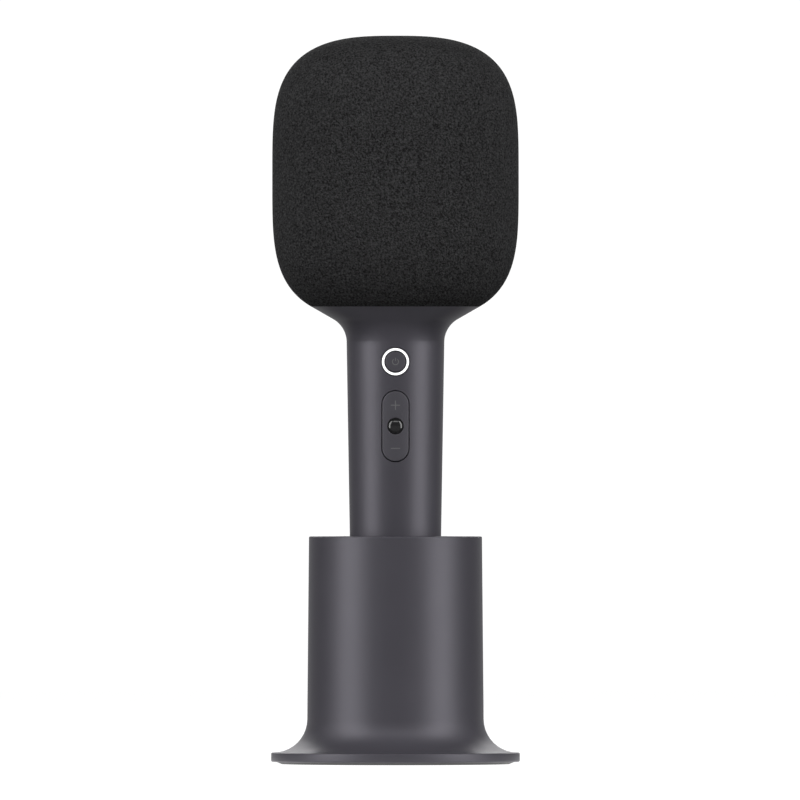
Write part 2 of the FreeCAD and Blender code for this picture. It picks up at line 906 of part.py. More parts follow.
def slot_block(length, radius, height):
    """A round-ended upright slot through the handle's front wall."""
    half = length / 2 - radius
    depth = 2 * sheet.grip_bottom_radius
    ends = [
        Part.makeCylinder(
            radius, depth, FreeCAD.Vector(0, 0, height + side * half), FreeCAD.Vector(0, -1, 0)
        )
        for side in (-1, 1)
    ]
    middle = Part.makeBox(2 * radius, depth, 2 * half, FreeCAD.Vector(-radius, -depth, height - half))
    return middle.fuse(ends).removeSplitter()


def handle_shell():
    """The one-piece handle: a tapered tube that flares into the oval neck, with two openings."""
    bottom = levels.shell_bottom
    start = neck_start()
    wall = sheet.grip_wall
    tubes = []
    for inset in (0, wall):
        rings = [
            oval(grip_radius_at(z) - inset, grip_radius_at(z) - inset, 2, z) for z in (bottom, start)
        ]
        tubes.append(Part.makeLoft(rings, True, True).fuse(neck_solid(inset)))
    outer, inner = tubes
    boss_top = SEAM_HEIGHT - sheet.frame_spigot
    shell = outer.cut(inner)
    for side in (-1, 1):
        boss = upright(
            sheet.frame_boss_radius,
            boss_top - sheet.frame_boss_height,
            boss_top,
            side * levels.frame_screw_offset,
        )
        shell = shell.fuse(boss.common(outer))
    pilots = [
        upright(
            sheet.frame_screw_radius + sheet.pivot_gap,
            boss_top - sheet.frame_hole_depth,
            boss_top,
            side * levels.frame_screw_offset,
        )
        for side in (-1, 1)
    ]
    power = Part.makeCylinder(
        sheet.power_hole_radius,
        2 * sheet.grip_bottom_radius,
        FreeCAD.Vector(0, 0, levels.power_height),
        FreeCAD.Vector(0, -1, 0),
    )
    rocker = slot_block(sheet.rocker_slot_length, sheet.rocker_slot_radius, levels.rocker_height)
    return feature("handle_shell", shell.cut([*pilots, power, rocker]))


def frame_halves():
    """The head frame's collar and spigot half sizes, which follow the neck's cavity."""
    top = [half - sheet.fit_gap for half in neck_half(SEAM_HEIGHT, sheet.grip_wall)]
    low = SEAM_HEIGHT - sheet.frame_spigot
    spigot = [half - sheet.fit_gap for half in neck_half(low, sheet.grip_wall)]
    return top, spigot


def speaker_drum(radius):
    """A cylinder on the speaker's axis, wide enough to shape what saddles the speaker box."""
    reach = sheet.head_depth
    return Part.makeCylinder(
        radius, reach, FreeCAD.Vector(0, -reach / 2, levels.speaker_height), FreeCAD.Vector(0, 1, 0)
    )


def head_frame():
    """The plate that joins the head to the neck, with a saddle under the speaker box."""
    collar, spigot = frame_halves()
    top = SEAM_HEIGHT + sheet.frame_rise
    low = SEAM_HEIGHT - sheet.frame_spigot
    body = prism(collar, sheet.head_corner_power, SEAM_HEIGHT, top)
    body = body.fuse(prism(spigot, neck_power(low), low, SEAM_HEIGHT))
    body = body.fuse(upright(sheet.frame_pillar_radius, top, levels.speaker_height))
    body = body.cut(speaker_drum(sheet.box_radius))
    wide, rise = 2 * sheet.head_width, sheet.box_radius
    corner = FreeCAD.Vector(-wide / 2, -wide / 2, low)
    body = body.common(Part.makeBox(wide, wide, rise, corner))
    tools = []
    for side in (-1, 1):
        x = side * levels.frame_screw_offset
        hole = sheet.frame_screw_radius + sheet.fit_gap
        sink = sheet.frame_screw_head_radius + sheet.fit_gap
        tools.append(upright(hole, low, top, x))
        tools.append(upright(sink, top - sheet.frame_screw_head_height, top, x))
    for x, y in lead_holes():
        tools.append(upright(sheet.lead_hole_radius, low, top, x, y))
    return feature("head_frame", body.cut(tools))


def lead_holes():
    """Where the leads rise through the head frame: two for the speaker, one for the capsule."""
    back = sheet.frame_pillar_radius + sheet.lead_hole_radius
    return [(-0.5 * back, back), (0.5 * back, back), (0.83 * back, 0.68 * back)]


def grille_half(name, side):
    """Half of the stiff cage under the foam, front or rear, with its rows of windows."""
    inset = sheet.foam_thickness + sheet.grille_gap
    bottom = SEAM_HEIGHT + sheet.frame_rise
    shell = head_solid(inset, bottom).cut(head_solid(inset + sheet.grille_thickness, bottom))
    reach = sheet.head_width
    split = sheet.grille_split / 2
    start, near = (split, 0) if side > 0 else (-split - reach, -reach)
    half = shell.common(
        Part.makeBox(
            2 * reach, reach, 2 * reach, FreeCAD.Vector(-reach, start, bottom - sheet.grille_rib)
        )
    )
    wide, tall = sheet.grille_window_width, sheet.grille_window_height
    pitch_x, pitch_z = wide + sheet.grille_rib, tall + sheet.grille_rib
    rows = int((sheet.head_height - 2 * inset - 2 * tall) / pitch_z)
    tools = []
    for column in range(-2, 3):
        for row in range(rows):
            height = HEAD_MIDDLE + (row - (rows - 1) / 2) * pitch_z
            half_width = head_half(height, inset + sheet.grille_thickness)[0]
            if abs(column) * pitch_x + wide / 2 + sheet.grille_rib > half_width:
                continue
            corner = FreeCAD.Vector(column * pitch_x - wide / 2, near, height - tall / 2)
            tools.append(Part.makeBox(wide, reach, tall, corner))
    return feature(name, half.cut(tools))


def windscreen():
    """The thick foam cover over the head, open below round the head frame's collar."""
    floor = SEAM_HEIGHT + sheet.frame_rise
    power = sheet.head_corner_power
    (collar_x, collar_y), _ = frame_halves()
    opening = prism(
        (collar_x + sheet.fit_gap, collar_y + sheet.fit_gap), power, SEAM_HEIGHT, floor
    )
    cavity = head_solid(sheet.foam_thickness, floor).fuse(opening)
    return feature("windscreen", head_solid(0, SEAM_HEIGHT).cut(cavity))


def frame_screws():
    """The two screws that pull the head frame down onto the neck's bosses."""
    seat = SEAM_HEIGHT + sheet.frame_rise - sheet.frame_screw_head_height
    screws = []
    for side in (-1, 1):
        x = side * levels.frame_screw_offset
        shank = upright(sheet.frame_screw_radius, seat - sheet.frame_screw_length, seat, x)
        head = upright(
            sheet.frame_screw_head_radius, seat, seat + sheet.frame_screw_head_height, x
        )
        screws.append(shank.fuse(head))
    return feature("frame_screws", Part.makeCompound(screws))


# ---- controls on the handle ----------------------------------------------------------------


def grip_block():
    """The handle's plain tapered outside, which trims the front of each button flush."""
    block = doc.addObject("Part::Cone", "grip_block")
    block.setExpression("Radius1", bound("grip_bottom_radius"))
    block.setExpression("Radius2", bound(grip_radius("seam_height")))
    block.setExpression("Height", bound("seam_height - rest_height"))
    return place(block, (0, 0, "rest_height"))


def flush(name, piece, block):
    """A button whose face follows the handle's outside."""
    return common(name, piece, block)


def front(text):
    """A place in front of the axis, towards the buttons."""
    return f"-({text})"


def light_ring(block):
    """The clear ring round the power button, with a skirt that reaches down to its lamps."""
    proud = "power_face + button_trim"
    body = turned(
        "light_ring_blank",
        [
            ("ring_bore", front(proud)),
            ("ring_radius", front(proud)),
            ("ring_radius", front("ring_flange")),
            ("ring_flange_radius", front("ring_flange")),
            ("ring_flange_radius", front("ring_flange - ring_flange_thickness")),
            ("ring_radius", front("ring_flange - ring_flange_thickness")),
            ("ring_radius", front("carrier_front")),
            ("ring_skirt_bore", front("carrier_front")),
            ("ring_skirt_bore", front("ring_step")),
            ("ring_bore", front("ring_step")),
        ],
        "Y",
        (0, 0, "power_height"),
    )
    return flush("light_ring", body, block)


def power_button(block):
    """The round power button: a cap, a flange that the ring holds back, and a stem."""
    proud = "power_face + button_trim"
    shelf = "(ring_step - pivot_gap)"
    body = turned(
        "power_button_blank",
        [
            (0, front(proud)),
            ("power_button_radius", front(proud)),
            ("power_button_radius", front(shelf)),
            ("button_flange_radius", front(shelf)),
            ("button_flange_radius", front(f"{shelf} - button_flange_thickness")),
            ("button_stem_radius", front(f"{shelf} - button_flange_thickness")),
            ("button_stem_radius", front("plunger_tip")),
            (0, front("plunger_tip")),
        ],
        "Y",
        (0, 0, "power_height"),
    )
    return flush("power_button", body, block)


def effect_button():
    """The glossy button in the middle of the rocker, slightly proud and rounded over."""
    face = "(rocker_face + effect_button_proud)"
    shelf = "(rocker_face - effect_button_depth)"
    body = turned(
        "effect_button",
        [
            (0, front(face)),
            ("effect_button_radius", front(face)),
            ("effect_button_radius", front(shelf)),
            ("effect_flange_radius", front(shelf)),
            ("effect_flange_radius", front(f"{shelf} - effect_flange_thickness")),
            ("button_stem_radius", front(f"{shelf} - effect_flange_thickness")),
            ("button_stem_radius", front("plunger_tip")),
            (0, front("plunger_tip")),
        ],
        "Y",
        (0, 0, "rocker_height"),
    )
    face_depth = levels.rocker_face + sheet.effect_button_proud
    rim = ring_edges(body, levels.effect_button_radius, -face_depth, "y")
    dress(body, "Fillet", rim, "effect_button_round")
    return body


def volume_rocker(block):
    """The long plus and minus plate, on two ears with pivot pins, with a post for each switch."""
    radius = "(rocker_slot_radius - rocker_gap)"
    half = "(rocker_slot_length / 2 - rocker_slot_radius)"
    back = "(rocker_face - rocker_back_depth)"
    deep = "(button_trim + rocker_back_depth)"
    plate = [
        box(
            "rocker_middle",
            (f"2 * {radius}", deep, f"2 * {half}"),
            (f"-{radius}", front(f"{back} + {deep}"), f"rocker_height - {half}"),
        )
    ]
    for number, side in enumerate(("-", "+"), 1):
        at = (0, front(f"{back} + {deep}"), f"rocker_height {side} {half}")
        plate.append(cylinder(f"rocker_end_{number}", radius, deep, at, "Y"))
    face = common("rocker_plate", fuse("rocker_blank", plate), block)
    pieces = [face]
    post_tip = "(plunger_tip + rocker_switch_gap)"
    for number, side in enumerate(("-", "+"), 1):
        at = (0, front(back), f"rocker_height {side} rocker_post_offset")
        pieces.append(
            cylinder(f"rocker_post_{number}", "rocker_post_radius", f"{back} - {post_tip}", at, "Y")
        )
    ear_tip = "(pivot_depth - pivot_pin_radius)"
    wide = "(rocker_ear_far - rocker_ear_near)"
    reach = "(pivot_pin_reach - rocker_ear_near)"
    for number, (ear_x, pin_x) in enumerate(
        (("-rocker_ear_far", "-pivot_pin_reach"), ("rocker_ear_near", "rocker_ear_near")), 1
    ):
        pieces.append(
            box(
                f"rocker_ear_{number}",
                (wide, f"{back} - {ear_tip}", "2 * rocker_ear_half_height"),
                (ear_x, front(back), "rocker_height - rocker_ear_half_height"),
            )
        )
        pieces.append(
            cylinder(
                f"rocker_pin_{number}",
                "pivot_pin_radius",
                reach,
                (pin_x, front("pivot_depth"), "rocker_height"),
                "X",
            )
        )
    hole = cylinder(
        "rocker_hole",
        "rocker_hole_radius",
        f"{deep} + 1",
        (0, front(f"{back} + {deep}"), "rocker_height"),
        "Y",
    )
    return cut("volume_rocker", fuse("rocker_solid", pieces), [hole])


# ---- switches, board and what holds them ---------------------------------------------------

SWITCH_HEIGHTS = {
    "power": "power_height",
    "volume_up": "rocker_height + rocker_post_offset",
    "effect": "rocker_height",
    "volume_down": "rocker_height - rocker_post_offset",
}


def push_switch(name, height):
    """A square push switch on the board, bored for its plunger, and the plunger itself."""
    half = "switch_width / 2"
    body = box(
        f"{name}_switch_block",
        ("switch_width", "switch_height", "switch_width"),
        (f"-{half}", front("switch_front"), f"{height} - {half}"),
    )
    bore = cylinder(
        f"{name}_switch_bore", "switch_bore", "switch_bore_depth", (0, front("switch_front"), height), "Y"
    )
    housing = cut(f"{name}_switch", body, [bore])
    plunger = cylinder(
        f"{name}_plunger",
        "button_stem_radius",
        "plunger_length",
        (0, front("plunger_tip"), height),
        "Y",
    )
    return housing, plunger


def main_board():
    """The long circuit board, with a narrow tongue at its foot under the charging socket."""
    wide = box(
        "board_wide",
        ("board_width", "board_thickness", "board_top - board_bottom"),
        ("-board_width / 2", "-board_front", "board_bottom"),
    )
    tongue = box(
        "board_tongue",
        ("tongue_width", "board_thickness", "board_bottom - tongue_bottom"),
        ("-tongue_width / 2", "-board_front", "tongue_bottom"),
    )
    holes = [
        cylinder(
            f"board_hole_{number}",
            "board_screw_radius + fit_gap",
            "board_thickness",
            (x, "-board_front", "board_screw_height"),
            "Y",
        )
        for number, x in enumerate(("-board_screw_offset", "board_screw_offset"), 1)
    ]
    return cut("main_board", fuse("board_blank", [wide, tongue]), holes)


def board_screws():
    """The two screws that hold the board to the cradle's bridge."""
    return group(
        "board_screws",
        [
            screw(
                f"board_screw_{number}",
                "board_screw_radius",
                "board_screw_length",
                "board_screw_head_radius",
                "board_screw_head_height",
                (x, "-board_front", "board_screw_height"),
                "Y",
            )
            for number, x in enumerate(("-board_screw_offset", "board_screw_offset"), 1)
        ],
    )


def wireless_module():
    """The shielded radio module on the back of the board."""
    return box(
        "wireless_module",
        ("module_width", "module_thickness", "module_length"),
        ("-module_width / 2", "-board_back", "module_bottom"),
    )


def status_leds():
    """The four lamps on the board under the light ring."""
    lamps = []
    for number, angle in enumerate((45, 135, 225, 315), 1):
        x, z = circle_of("led_circle", angle)
        lamps.append(
            box(
                f"led_{number}",
                ("led_size", "led_thickness", "led_size"),
                (
                    f"{x} - led_size / 2",
                    front("board_front + led_thickness"),
                    f"power_height + {z} - led_size / 2",
                ),
            )
        )
    return group("status_leds", lamps)


def button_carrier():
    """The frame on the board that carries the rocker's pivots, with a window for each switch."""
    plate = box(
        "carrier_plate",
        ("carrier_width", "carrier_thickness", "carrier_top - carrier_bottom"),
        ("-carrier_width / 2", front("carrier_front"), "carrier_bottom"),
    )
    pieces = [plate]
    inset_x = "carrier_width / 2 - carrier_pad_inset"
    for number, (side, height) in enumerate(
        (s, h)
        for s in ("-", "+")
        for h in ("carrier_bottom + carrier_pad_inset", "carrier_top - carrier_pad_inset")
    ):
        pieces.append(
            cylinder(
                f"carrier_pad_{number}",
                "carrier_pad_radius",
                "carrier_front - board_front - carrier_thickness / 2",
                (f"0 {side} ({inset_x})", front("carrier_front - carrier_thickness / 2"), height),
                "Y",
            )
        )
    for number, x in enumerate(("-lug_far", "lug_near"), 1):
        pieces.append(
            box(
                f"carrier_lug_{number}",
                (
                    "lug_far - lug_near",
                    "lug_top - carrier_front + carrier_thickness / 2",
                    "2 * lug_half_height",
                ),
                (x, front("lug_top"), "rocker_height - lug_half_height"),
            )
        )
    windows = [
        cylinder(
            "carrier_ring_window",
            "carrier_ring_hole",
            "carrier_thickness",
            (0, front("carrier_front"), "power_height"),
            "Y",
        ),
        cylinder(
            "carrier_pivot_bore",
            "pivot_pin_radius + pivot_gap",
            "2 * lug_far",
            ("-lug_far", front("pivot_depth"), "rocker_height"),
            "X",
        ),
    ]
    for name, width in (
        ("volume_up", "carrier_window"),
        ("effect", "pivot_window_width"),
        ("volume_down", "carrier_window"),
    ):
        windows.append(
            box(
                f"carrier_{name}_window",
                (width, "carrier_thickness", "carrier_window"),
                (
                    f"-{width} / 2",
                    front("carrier_front"),
                    f"{SWITCH_HEIGHTS[name]} - carrier_window / 2",
                ),
            )
        )
    return cut("button_carrier", fuse("carrier_blank", pieces), windows)


# ---- foot of the handle --------------------------------------------------------------------

def usb_socket():
    """The charging socket: a metal shell, open downwards, round a thin contact tongue."""
    shell = box(
        "usb_block",
        ("usb_width", "usb_thickness", "usb_length"),
        ("-usb_width / 2", "-board_back", "usb_bottom"),
    )
    hollow = box(
        "usb_hollow",
        ("usb_width - 2 * usb_wall", "usb_thickness - 2 * usb_wall", "usb_length - usb_wall"),
        ("-usb_width / 2 + usb_wall", "-board_back + usb_wall", "usb_bottom"),
    )
    tongue = box(
        "usb_tongue",
        ("usb_tongue_width", "usb_tongue_thickness", "usb_length - usb_tongue_inset"),
        (
            "-usb_tongue_width / 2",
            "-board_back + usb_thickness / 2 - usb_tongue_thickness / 2",
            "usb_bottom + usb_tongue_inset",
        ),
    )
    return fuse("usb_socket", [cut("usb_shell", shell, [hollow]), tongue])


def bottom_cap():
    """The handle's end cap: a bevelled disc with a spigot inside the tube and the socket's slot."""
    spigot = f"({grip_radius("shell_bottom")} - grip_wall - fit_gap)"
    body = turned(
        "cap_disc",
        [
            (0, "rest_height"),
            ("grip_bottom_radius - cap_bevel", "rest_height"),
            ("grip_bottom_radius", "rest_height + cap_bevel"),
            ("grip_bottom_radius", "rest_height + cap_thickness - cap_groove"),
            ("grip_bottom_radius - 2 * cap_groove", "rest_height + cap_thickness - cap_groove"),
            ("grip_bottom_radius - 2 * cap_groove", "rest_height + cap_thickness"),
            (spigot, "rest_height + cap_thickness"),
            (spigot, "rest_height + cap_thickness + cap_spigot_height"),
            (f"{spigot} - cap_spigot_wall", "rest_height + cap_thickness + cap_spigot_height"),
            (f"{spigot} - cap_spigot_wall", "rest_height + cap_thickness"),
            (0, "rest_height + cap_thickness"),
        ],
    )
    posts = [
        cylinder(
            f"cap_post_{number}",
            "cap_post_radius",
            "cradle_low - rest_height",
            (x, "cap_screw_place", "rest_height"),
        )
        for number, x in enumerate(("-cap_screw_offset", "cap_screw_offset"), 1)
    ]
    tools = [
        box(
            "cap_slot",
            (
                "usb_width + 2 * usb_clearance",
                "usb_thickness + 2 * usb_clearance",
                "cap_thickness",
            ),
            (
                "-usb_width / 2 - usb_clearance",
                "-board_back - usb_clearance",
                "rest_height",
            ),
        )
    ]
    for number, x in enumerate(("-cap_screw_offset", "cap_screw_offset"), 1):
        at = (x, "cap_screw_place", "rest_height")
        tools.append(
            cylinder(
                f"cap_hole_{number}",
                "cap_screw_radius + fit_gap",
                "cradle_low - rest_height",
                at,
            )
        )
        tools.append(
            cylinder(
                f"cap_sink_{number}",
                "cap_screw_head_radius + fit_gap",
                "cap_screw_head_height",
                at,
            )
        )
    return cut("bottom_cap", fuse("cap_blank", [body, *posts]), tools)


def cap_screws():
    """The two screws that hold the cap to the battery cradle."""
    return group(
        "cap_screws",
        [
            screw(
                f"cap_screw_{number}",
                "cap_screw_radius",
                "cap_screw_length",
                "cap_screw_head_radius",
                "cap_screw_head_height",
                (x, "cap_screw_place", "rest_height + cap_screw_head_height"),
            )
            for number, x in enumerate(("-cap_screw_offset", "cap_screw_offset"), 1)
        ],
    )


def battery_cell():
    """The round rechargeable cell, with its raised button at the top."""
    return turned(
        "battery_cell",
        [
            (0, "cell_bottom"),
            ("cell_radius", "cell_bottom"),
            ("cell_radius", "cell_top - cell_button_height"),
            ("cell_button_radius", "cell_top - cell_button_height"),
            ("cell_button_radius", "cell_bottom + cell_length"),
            (0, "cell_bottom + cell_length"),
        ],
        "Z",
        (0, "cell_offset", 0),
    )


def battery_tabs():
    """The two metal strips that carry the cell's current to the back of the board."""
    strips = [
        box(
            f"battery_tab_{number}",
            ("tab_width", "board_back + cell_offset + cell_button_radius", "tab_thickness"),
            ("-tab_width / 2", "-board_back", height),
        )
        for number, height in enumerate(
            ("cell_bottom - tab_thickness", "cell_bottom + cell_length"), 1
        )
    ]
    return group("battery_tabs", strips)


def battery_cradle():
    """The moulded cradle round the cell, with end walls, two rails and a bridge for the board."""
    low = "cradle_low"
    top = "(cell_bottom + cell_length + tab_thickness)"
    centre = (0, "cell_offset", low)
    whole = f"{top} + cradle_top_end - {low}"
    outer = cylinder(
        "cradle_outer", "cell_radius + cradle_gap + cradle_wall", whole, centre
    )
    bay = cylinder(
        "cradle_bay",
        "cell_radius + cradle_gap",
        f"{top} - {low} - cradle_end",
        (0, "cell_offset", f"{low} + cradle_end"),
    )
    mouth = box(
        "cradle_mouth",
        ("4 * cell_radius", "2 * cell_radius", whole),
        ("-2 * cell_radius", "cell_offset - cradle_opening - 2 * cell_radius", low),
    )
    tube = cut("cradle_tube", outer, [bay, mouth])
    pieces = [tube]
    for number, x in enumerate(("-rail_far", "rail_near"), 1):
        pieces.append(
            box(
                f"cradle_rail_{number}",
                ("rail_far - rail_near", "board_back + cell_offset - rail_back", f"rail_top - {low}"),
                (x, "-board_back", low),
            )
        )
    pieces.append(
        box(
            "cradle_bridge",
            ("2 * rail_far", "bridge_depth", "bridge_height"),
            ("-rail_far", "-board_back", "rail_top - bridge_height"),
        )
    )
    tools = []
    for number, x in enumerate(("-cap_screw_offset", "cap_screw_offset"), 1):
        tools.append(
            cylinder(
                f"cradle_pilot_{number}",
                "cap_screw_radius + pivot_gap",
                "cradle_end",
                (x, "cap_screw_place", low),
            )
        )
    for number, x in enumerate(("-board_screw_offset", "board_screw_offset"), 1):
        tools.append(
            cylinder(
                f"bridge_pilot_{number}",
                "board_screw_radius + pivot_gap",
                "bridge_depth",
                (x, "-board_back", "board_screw_height"),
                "Y",
            )
        )
    return cut("battery_cradle", fuse("cradle_blank", pieces), tools)


# ---- speaker in the head -------------------------------------------------------------------

SPEAKER = (0, 0, "speaker_height")


def speaker_box():
    """The round sealed box behind the speaker, with the passive radiator's hole in its back."""
    inner = "(box_radius - box_wall)"
    drum = turned(
        "box_drum",
        [
            ("box_radius", front("box_front")),
            ("box_radius", "box_back"),
            ("radiator_hole", "box_back"),
            ("radiator_hole", "box_back - box_wall"),
            (inner, "box_back - box_wall"),
            (inner, front("box_front")),
        ],
        "Y",
        SPEAKER,
    )
    bosses, pilots = [], []
    for number, angle in enumerate((45, 135, 225, 315), 1):
        x, z = circle_of("baffle_screw_circle", angle)
        at = (x, front("box_front"), f"speaker_height + {z}")
        bosses.append(
            cylinder(
                f"box_boss_{number}",
                "baffle_boss_radius",
                "box_front + box_back - box_wall / 2",
                at,
                "Y",
            )
        )
        pilots.append(
            cylinder(
                f"box_pilot_{number}",
                "baffle_screw_radius + pivot_gap",
                "baffle_screw_length",
                at,
                "Y",
            )
        )
    return cut("speaker_box", fuse("box_body", [drum, *bosses]), pilots)


def washer(name, inner, outer, near, far):
    """A flat ring on the speaker's axis between two depths."""
    return turned(
        name, [(inner, near), (outer, near), (outer, far), (inner, far)], "Y", SPEAKER
    )


def speaker_baffle():
    """The round front plate of the speaker box, with the driver's hole and four screw holes."""
    plate = washer(
        "baffle_disc", "baffle_hole", "box_radius", front("baffle_face"), front("baffle_back")
    )
    holes = []
    for number, angle in enumerate((45, 135, 225, 315), 1):
        x, z = circle_of("baffle_screw_circle", angle)
        at = (x, front("baffle_face"), f"speaker_height + {z}")
        holes.append(
            cylinder(
                f"baffle_hole_{number}",
                "baffle_screw_radius + fit_gap",
                "baffle_thickness",
                at,
                "Y",
            )
        )
        holes.append(
            cylinder(
                f"baffle_sink_{number}",
                "baffle_screw_head_radius + fit_gap",
                "baffle_screw_head_height",
                at,
                "Y",
            )
        )
    return cut("speaker_baffle", plate, holes)


def baffle_screws():
    """The four screws that hold the baffle to the speaker box."""
    screws = []
    for number, angle in enumerate((45, 135, 225, 315), 1):
        x, z = circle_of("baffle_screw_circle", angle)
        screws.append(
            screw(
                f"baffle_screw_{number}",
                "baffle_screw_radius",
                "baffle_screw_length",
                "baffle_screw_head_radius",
                "baffle_screw_head_height",
                (
                    x,
                    front("baffle_face - baffle_screw_head_height"),
                    f"speaker_height + {z}",
                ),
                "Y",
            )
        )
    return group("baffle_screws", screws)


def speaker_frame():
    """The driver's basket, a flanged cup with four openings behind the cone."""
    floor = "motor_face + 0.5 * spider_height"
    bore = "gap_radius + coil_clearance"
    body = turned(
        "driver_basket",
        [
            ("frame_flange_radius", front("flange_face")),
            ("frame_flange_radius", front("flange_back")),
            ("frame_throat_radius + frame_wall", front("flange_back")),
            ("frame_throat_radius + frame_wall", front("flange_back - frame_bend")),
            ("spider_seat + spider_seat_wall", front("spider_face - frame_foot_round")),
            ("spider_seat + spider_seat_wall", front("motor_face")),
            (bore, front("motor_face")),
            (bore, front(floor)),
            ("spider_seat - spider_ledge", front(floor)),
            ("spider_seat - spider_ledge", front("spider_face")),
            ("spider_seat", front("spider_face")),
            ("frame_throat_radius", front("flange_back - frame_bend + 0.4 * frame_wall")),
            ("frame_throat_radius", front("flange_face")),
        ],
        "Y",
        SPEAKER,
    )
    windows = []
    reach = "(frame_throat_radius - frame_window_inset)"
    wide, tall = "frame_window_width", "frame_window_height"
    for number, (x, z) in enumerate(((-1, 0), (1, 0), (0, -1), (0, 1)), 1):
        windows.append(
            box(
                f"basket_window_{number}",
                (wide, tall, wide),
                (
                    f"{x} * {reach} - {wide} / 2",
                    front("spider_face + frame_window_rise"),
                    f"speaker_height + {z} * {reach} - {wide} / 2",
                ),
            )
        )
    return cut("speaker_frame", body, windows)


def speaker_yoke():
    """The steel back plate and the pole that stands up through the magnet."""
    return turned(
        "speaker_yoke",
        [
            (0, front("motor_face")),
            ("pole_radius", front("motor_face")),
            ("pole_radius", front("yoke_face")),
            ("motor_radius", front("yoke_face")),
            ("motor_radius", front("yoke_face - yoke_thickness")),
            (0, front("yoke_face - yoke_thickness")),
        ],
        "Y",
        SPEAKER,
    )


def speaker_cone():
    """The paper cone, from the voice coil's former out to the surround."""
    return turned(
        "speaker_cone",
        [
            ("coil_outside", front("cone_throat")),
            ("coil_outside", front("cone_throat + cone_thickness")),
            ("cone_radius - cone_thickness", front("cone_rim")),
            ("cone_radius", front("cone_rim")),
            ("cone_radius", front("cone_rim - cone_thickness")),
        ],
        "Y",
        SPEAKER,
    )


def voice_coil():
    """The thin former that carries the coil in the magnet's gap."""
    return washer(
        "voice_coil",
        "coil_radius",
        "coil_outside",
        front("cone_throat + cone_thickness"),
        front("cone_throat + cone_thickness - coil_length"),
    )


def cone_depth_at(radius):
    """How far forward the cone's face is at a radius."""
    run = "(cone_radius - cone_thickness - coil_radius - coil_wall)"
    rise = "(cone_depth - cone_thickness)"
    return f"(cone_throat + cone_thickness + {rise} * ({radius} - coil_radius - coil_wall) / {run})"


def dust_cap():
    """The small dome over the voice coil."""
    foot = cone_depth_at("dust_cap_radius")
    rise = "dust_cap_rise"
    wall = "cone_thickness"
    return turned(
        "dust_cap",
        [
            (0, front(f"{foot} + {rise}")),
            ("0.55 * dust_cap_radius", front(f"{foot} + 0.8 * {rise}")),
            ("0.88 * dust_cap_radius", front(f"{foot} + 0.35 * {rise}")),
            ("dust_cap_radius", front(foot)),
            (f"dust_cap_radius - {wall}", front(foot)),
            ("0.82 * dust_cap_radius", front(f"{foot} + 0.35 * {rise} - 0.6 * {wall}")),
            ("0.5 * dust_cap_radius", front(f"{foot} + 0.8 * {rise} - {wall}")),
            (0, front(f"{foot} + {rise} - {wall}")),
        ],
        "Y",
        SPEAKER,
    )


def cone_surround():
    """The rubber half roll that joins the cone's rim to the basket's flange."""
    top = "flange_face + cone_thickness"

    def roll(share, height):
        return f"cone_radius + {share} * roll_width", front(f"{top} + {height} * roll_height")

    return turned(
        "cone_surround",
        [
            ("cone_radius - roll_lip", front("cone_rim")),
            ("cone_radius - roll_lip", front("cone_rim + cone_thickness")),
            ("cone_radius", front("cone_rim + cone_thickness")),
            roll(0.16, 0.6),
            roll(0.5, 1),
            roll(0.84, 0.6),
            roll(1, 0),
            ("frame_flange_radius - surround_edge", front(top)),
            ("frame_flange_radius - surround_edge", front("flange_face")),
            ("cone_radius + 0.87 * roll_width", front("flange_face")),
            roll(0.68, 0.3),
            roll(0.5, 0.5),
            roll(0.29, 0.3),
            ("cone_radius + 0.13 * roll_width", front("cone_rim")),
        ],
        "Y",
        SPEAKER,
    )


def spider():
    """The springy disc that centres the coil in the basket."""
    return washer(
        "spider",
        "coil_outside",
        "spider_seat - spider_seat_gap",
        front("spider_face + spider_thickness"),
        front("spider_face"),
    )


def radiator_surround():
    """The rubber roll that lets the passive radiator move in the box's back wall."""
    skin = "box_back + cone_thickness"
    crest = "radiator_radius + 0.48 * radiator_roll_width"
    return turned(
        "radiator_surround",
        [
            ("radiator_radius", "box_back - radiator_thickness"),
            ("radiator_radius + surround_edge", "box_back - radiator_thickness"),
            ("radiator_radius + surround_edge", skin),
            (crest, "box_back + radiator_roll - surround_edge"),
            ("radiator_hole - roll_lip", skin),
            ("radiator_hole", "box_back"),
            ("radiator_lip", "box_back"),
            ("radiator_lip", skin),
            ("radiator_hole", skin),
            ("radiator_hole - roll_lip", f"{skin} + cone_thickness"),
            (crest, "box_back + radiator_roll"),
            ("radiator_radius", skin),
        ],
        "Y",
        SPEAKER,
    )


def passive_radiator():
    """The weighted disc in the back of the speaker box."""
    return turned(
        "passive_radiator",
        [
            (0, "box_back - radiator_thickness"),
            ("radiator_radius", "box_back - radiator_thickness"),
            ("radiator_radius", "box_back"),
            (0, "box_back"),
        ],
        "Y",
        SPEAKER,
    )


# ---- voice capsule and leads ---------------------------------------------------------------


def capsule():
    """The voice capsule that faces the top of the head."""
    return cylinder("voice_capsule", "capsule_radius", "capsule_height", (0, 0, "capsule_base"))


def capsule_boot():
    """The rubber sleeve that keeps handling noise from the capsule."""
    base = "capsule_base + (capsule_height - boot_height) / 2"
    return turned(
        "capsule_boot",
        [
            ("capsule_radius", base),
            ("capsule_radius + boot_wall", base),
            ("capsule_radius + boot_wall", f"{base} + boot_height"),
            ("capsule_radius", f"{base} + boot_height"),
        ],
    )


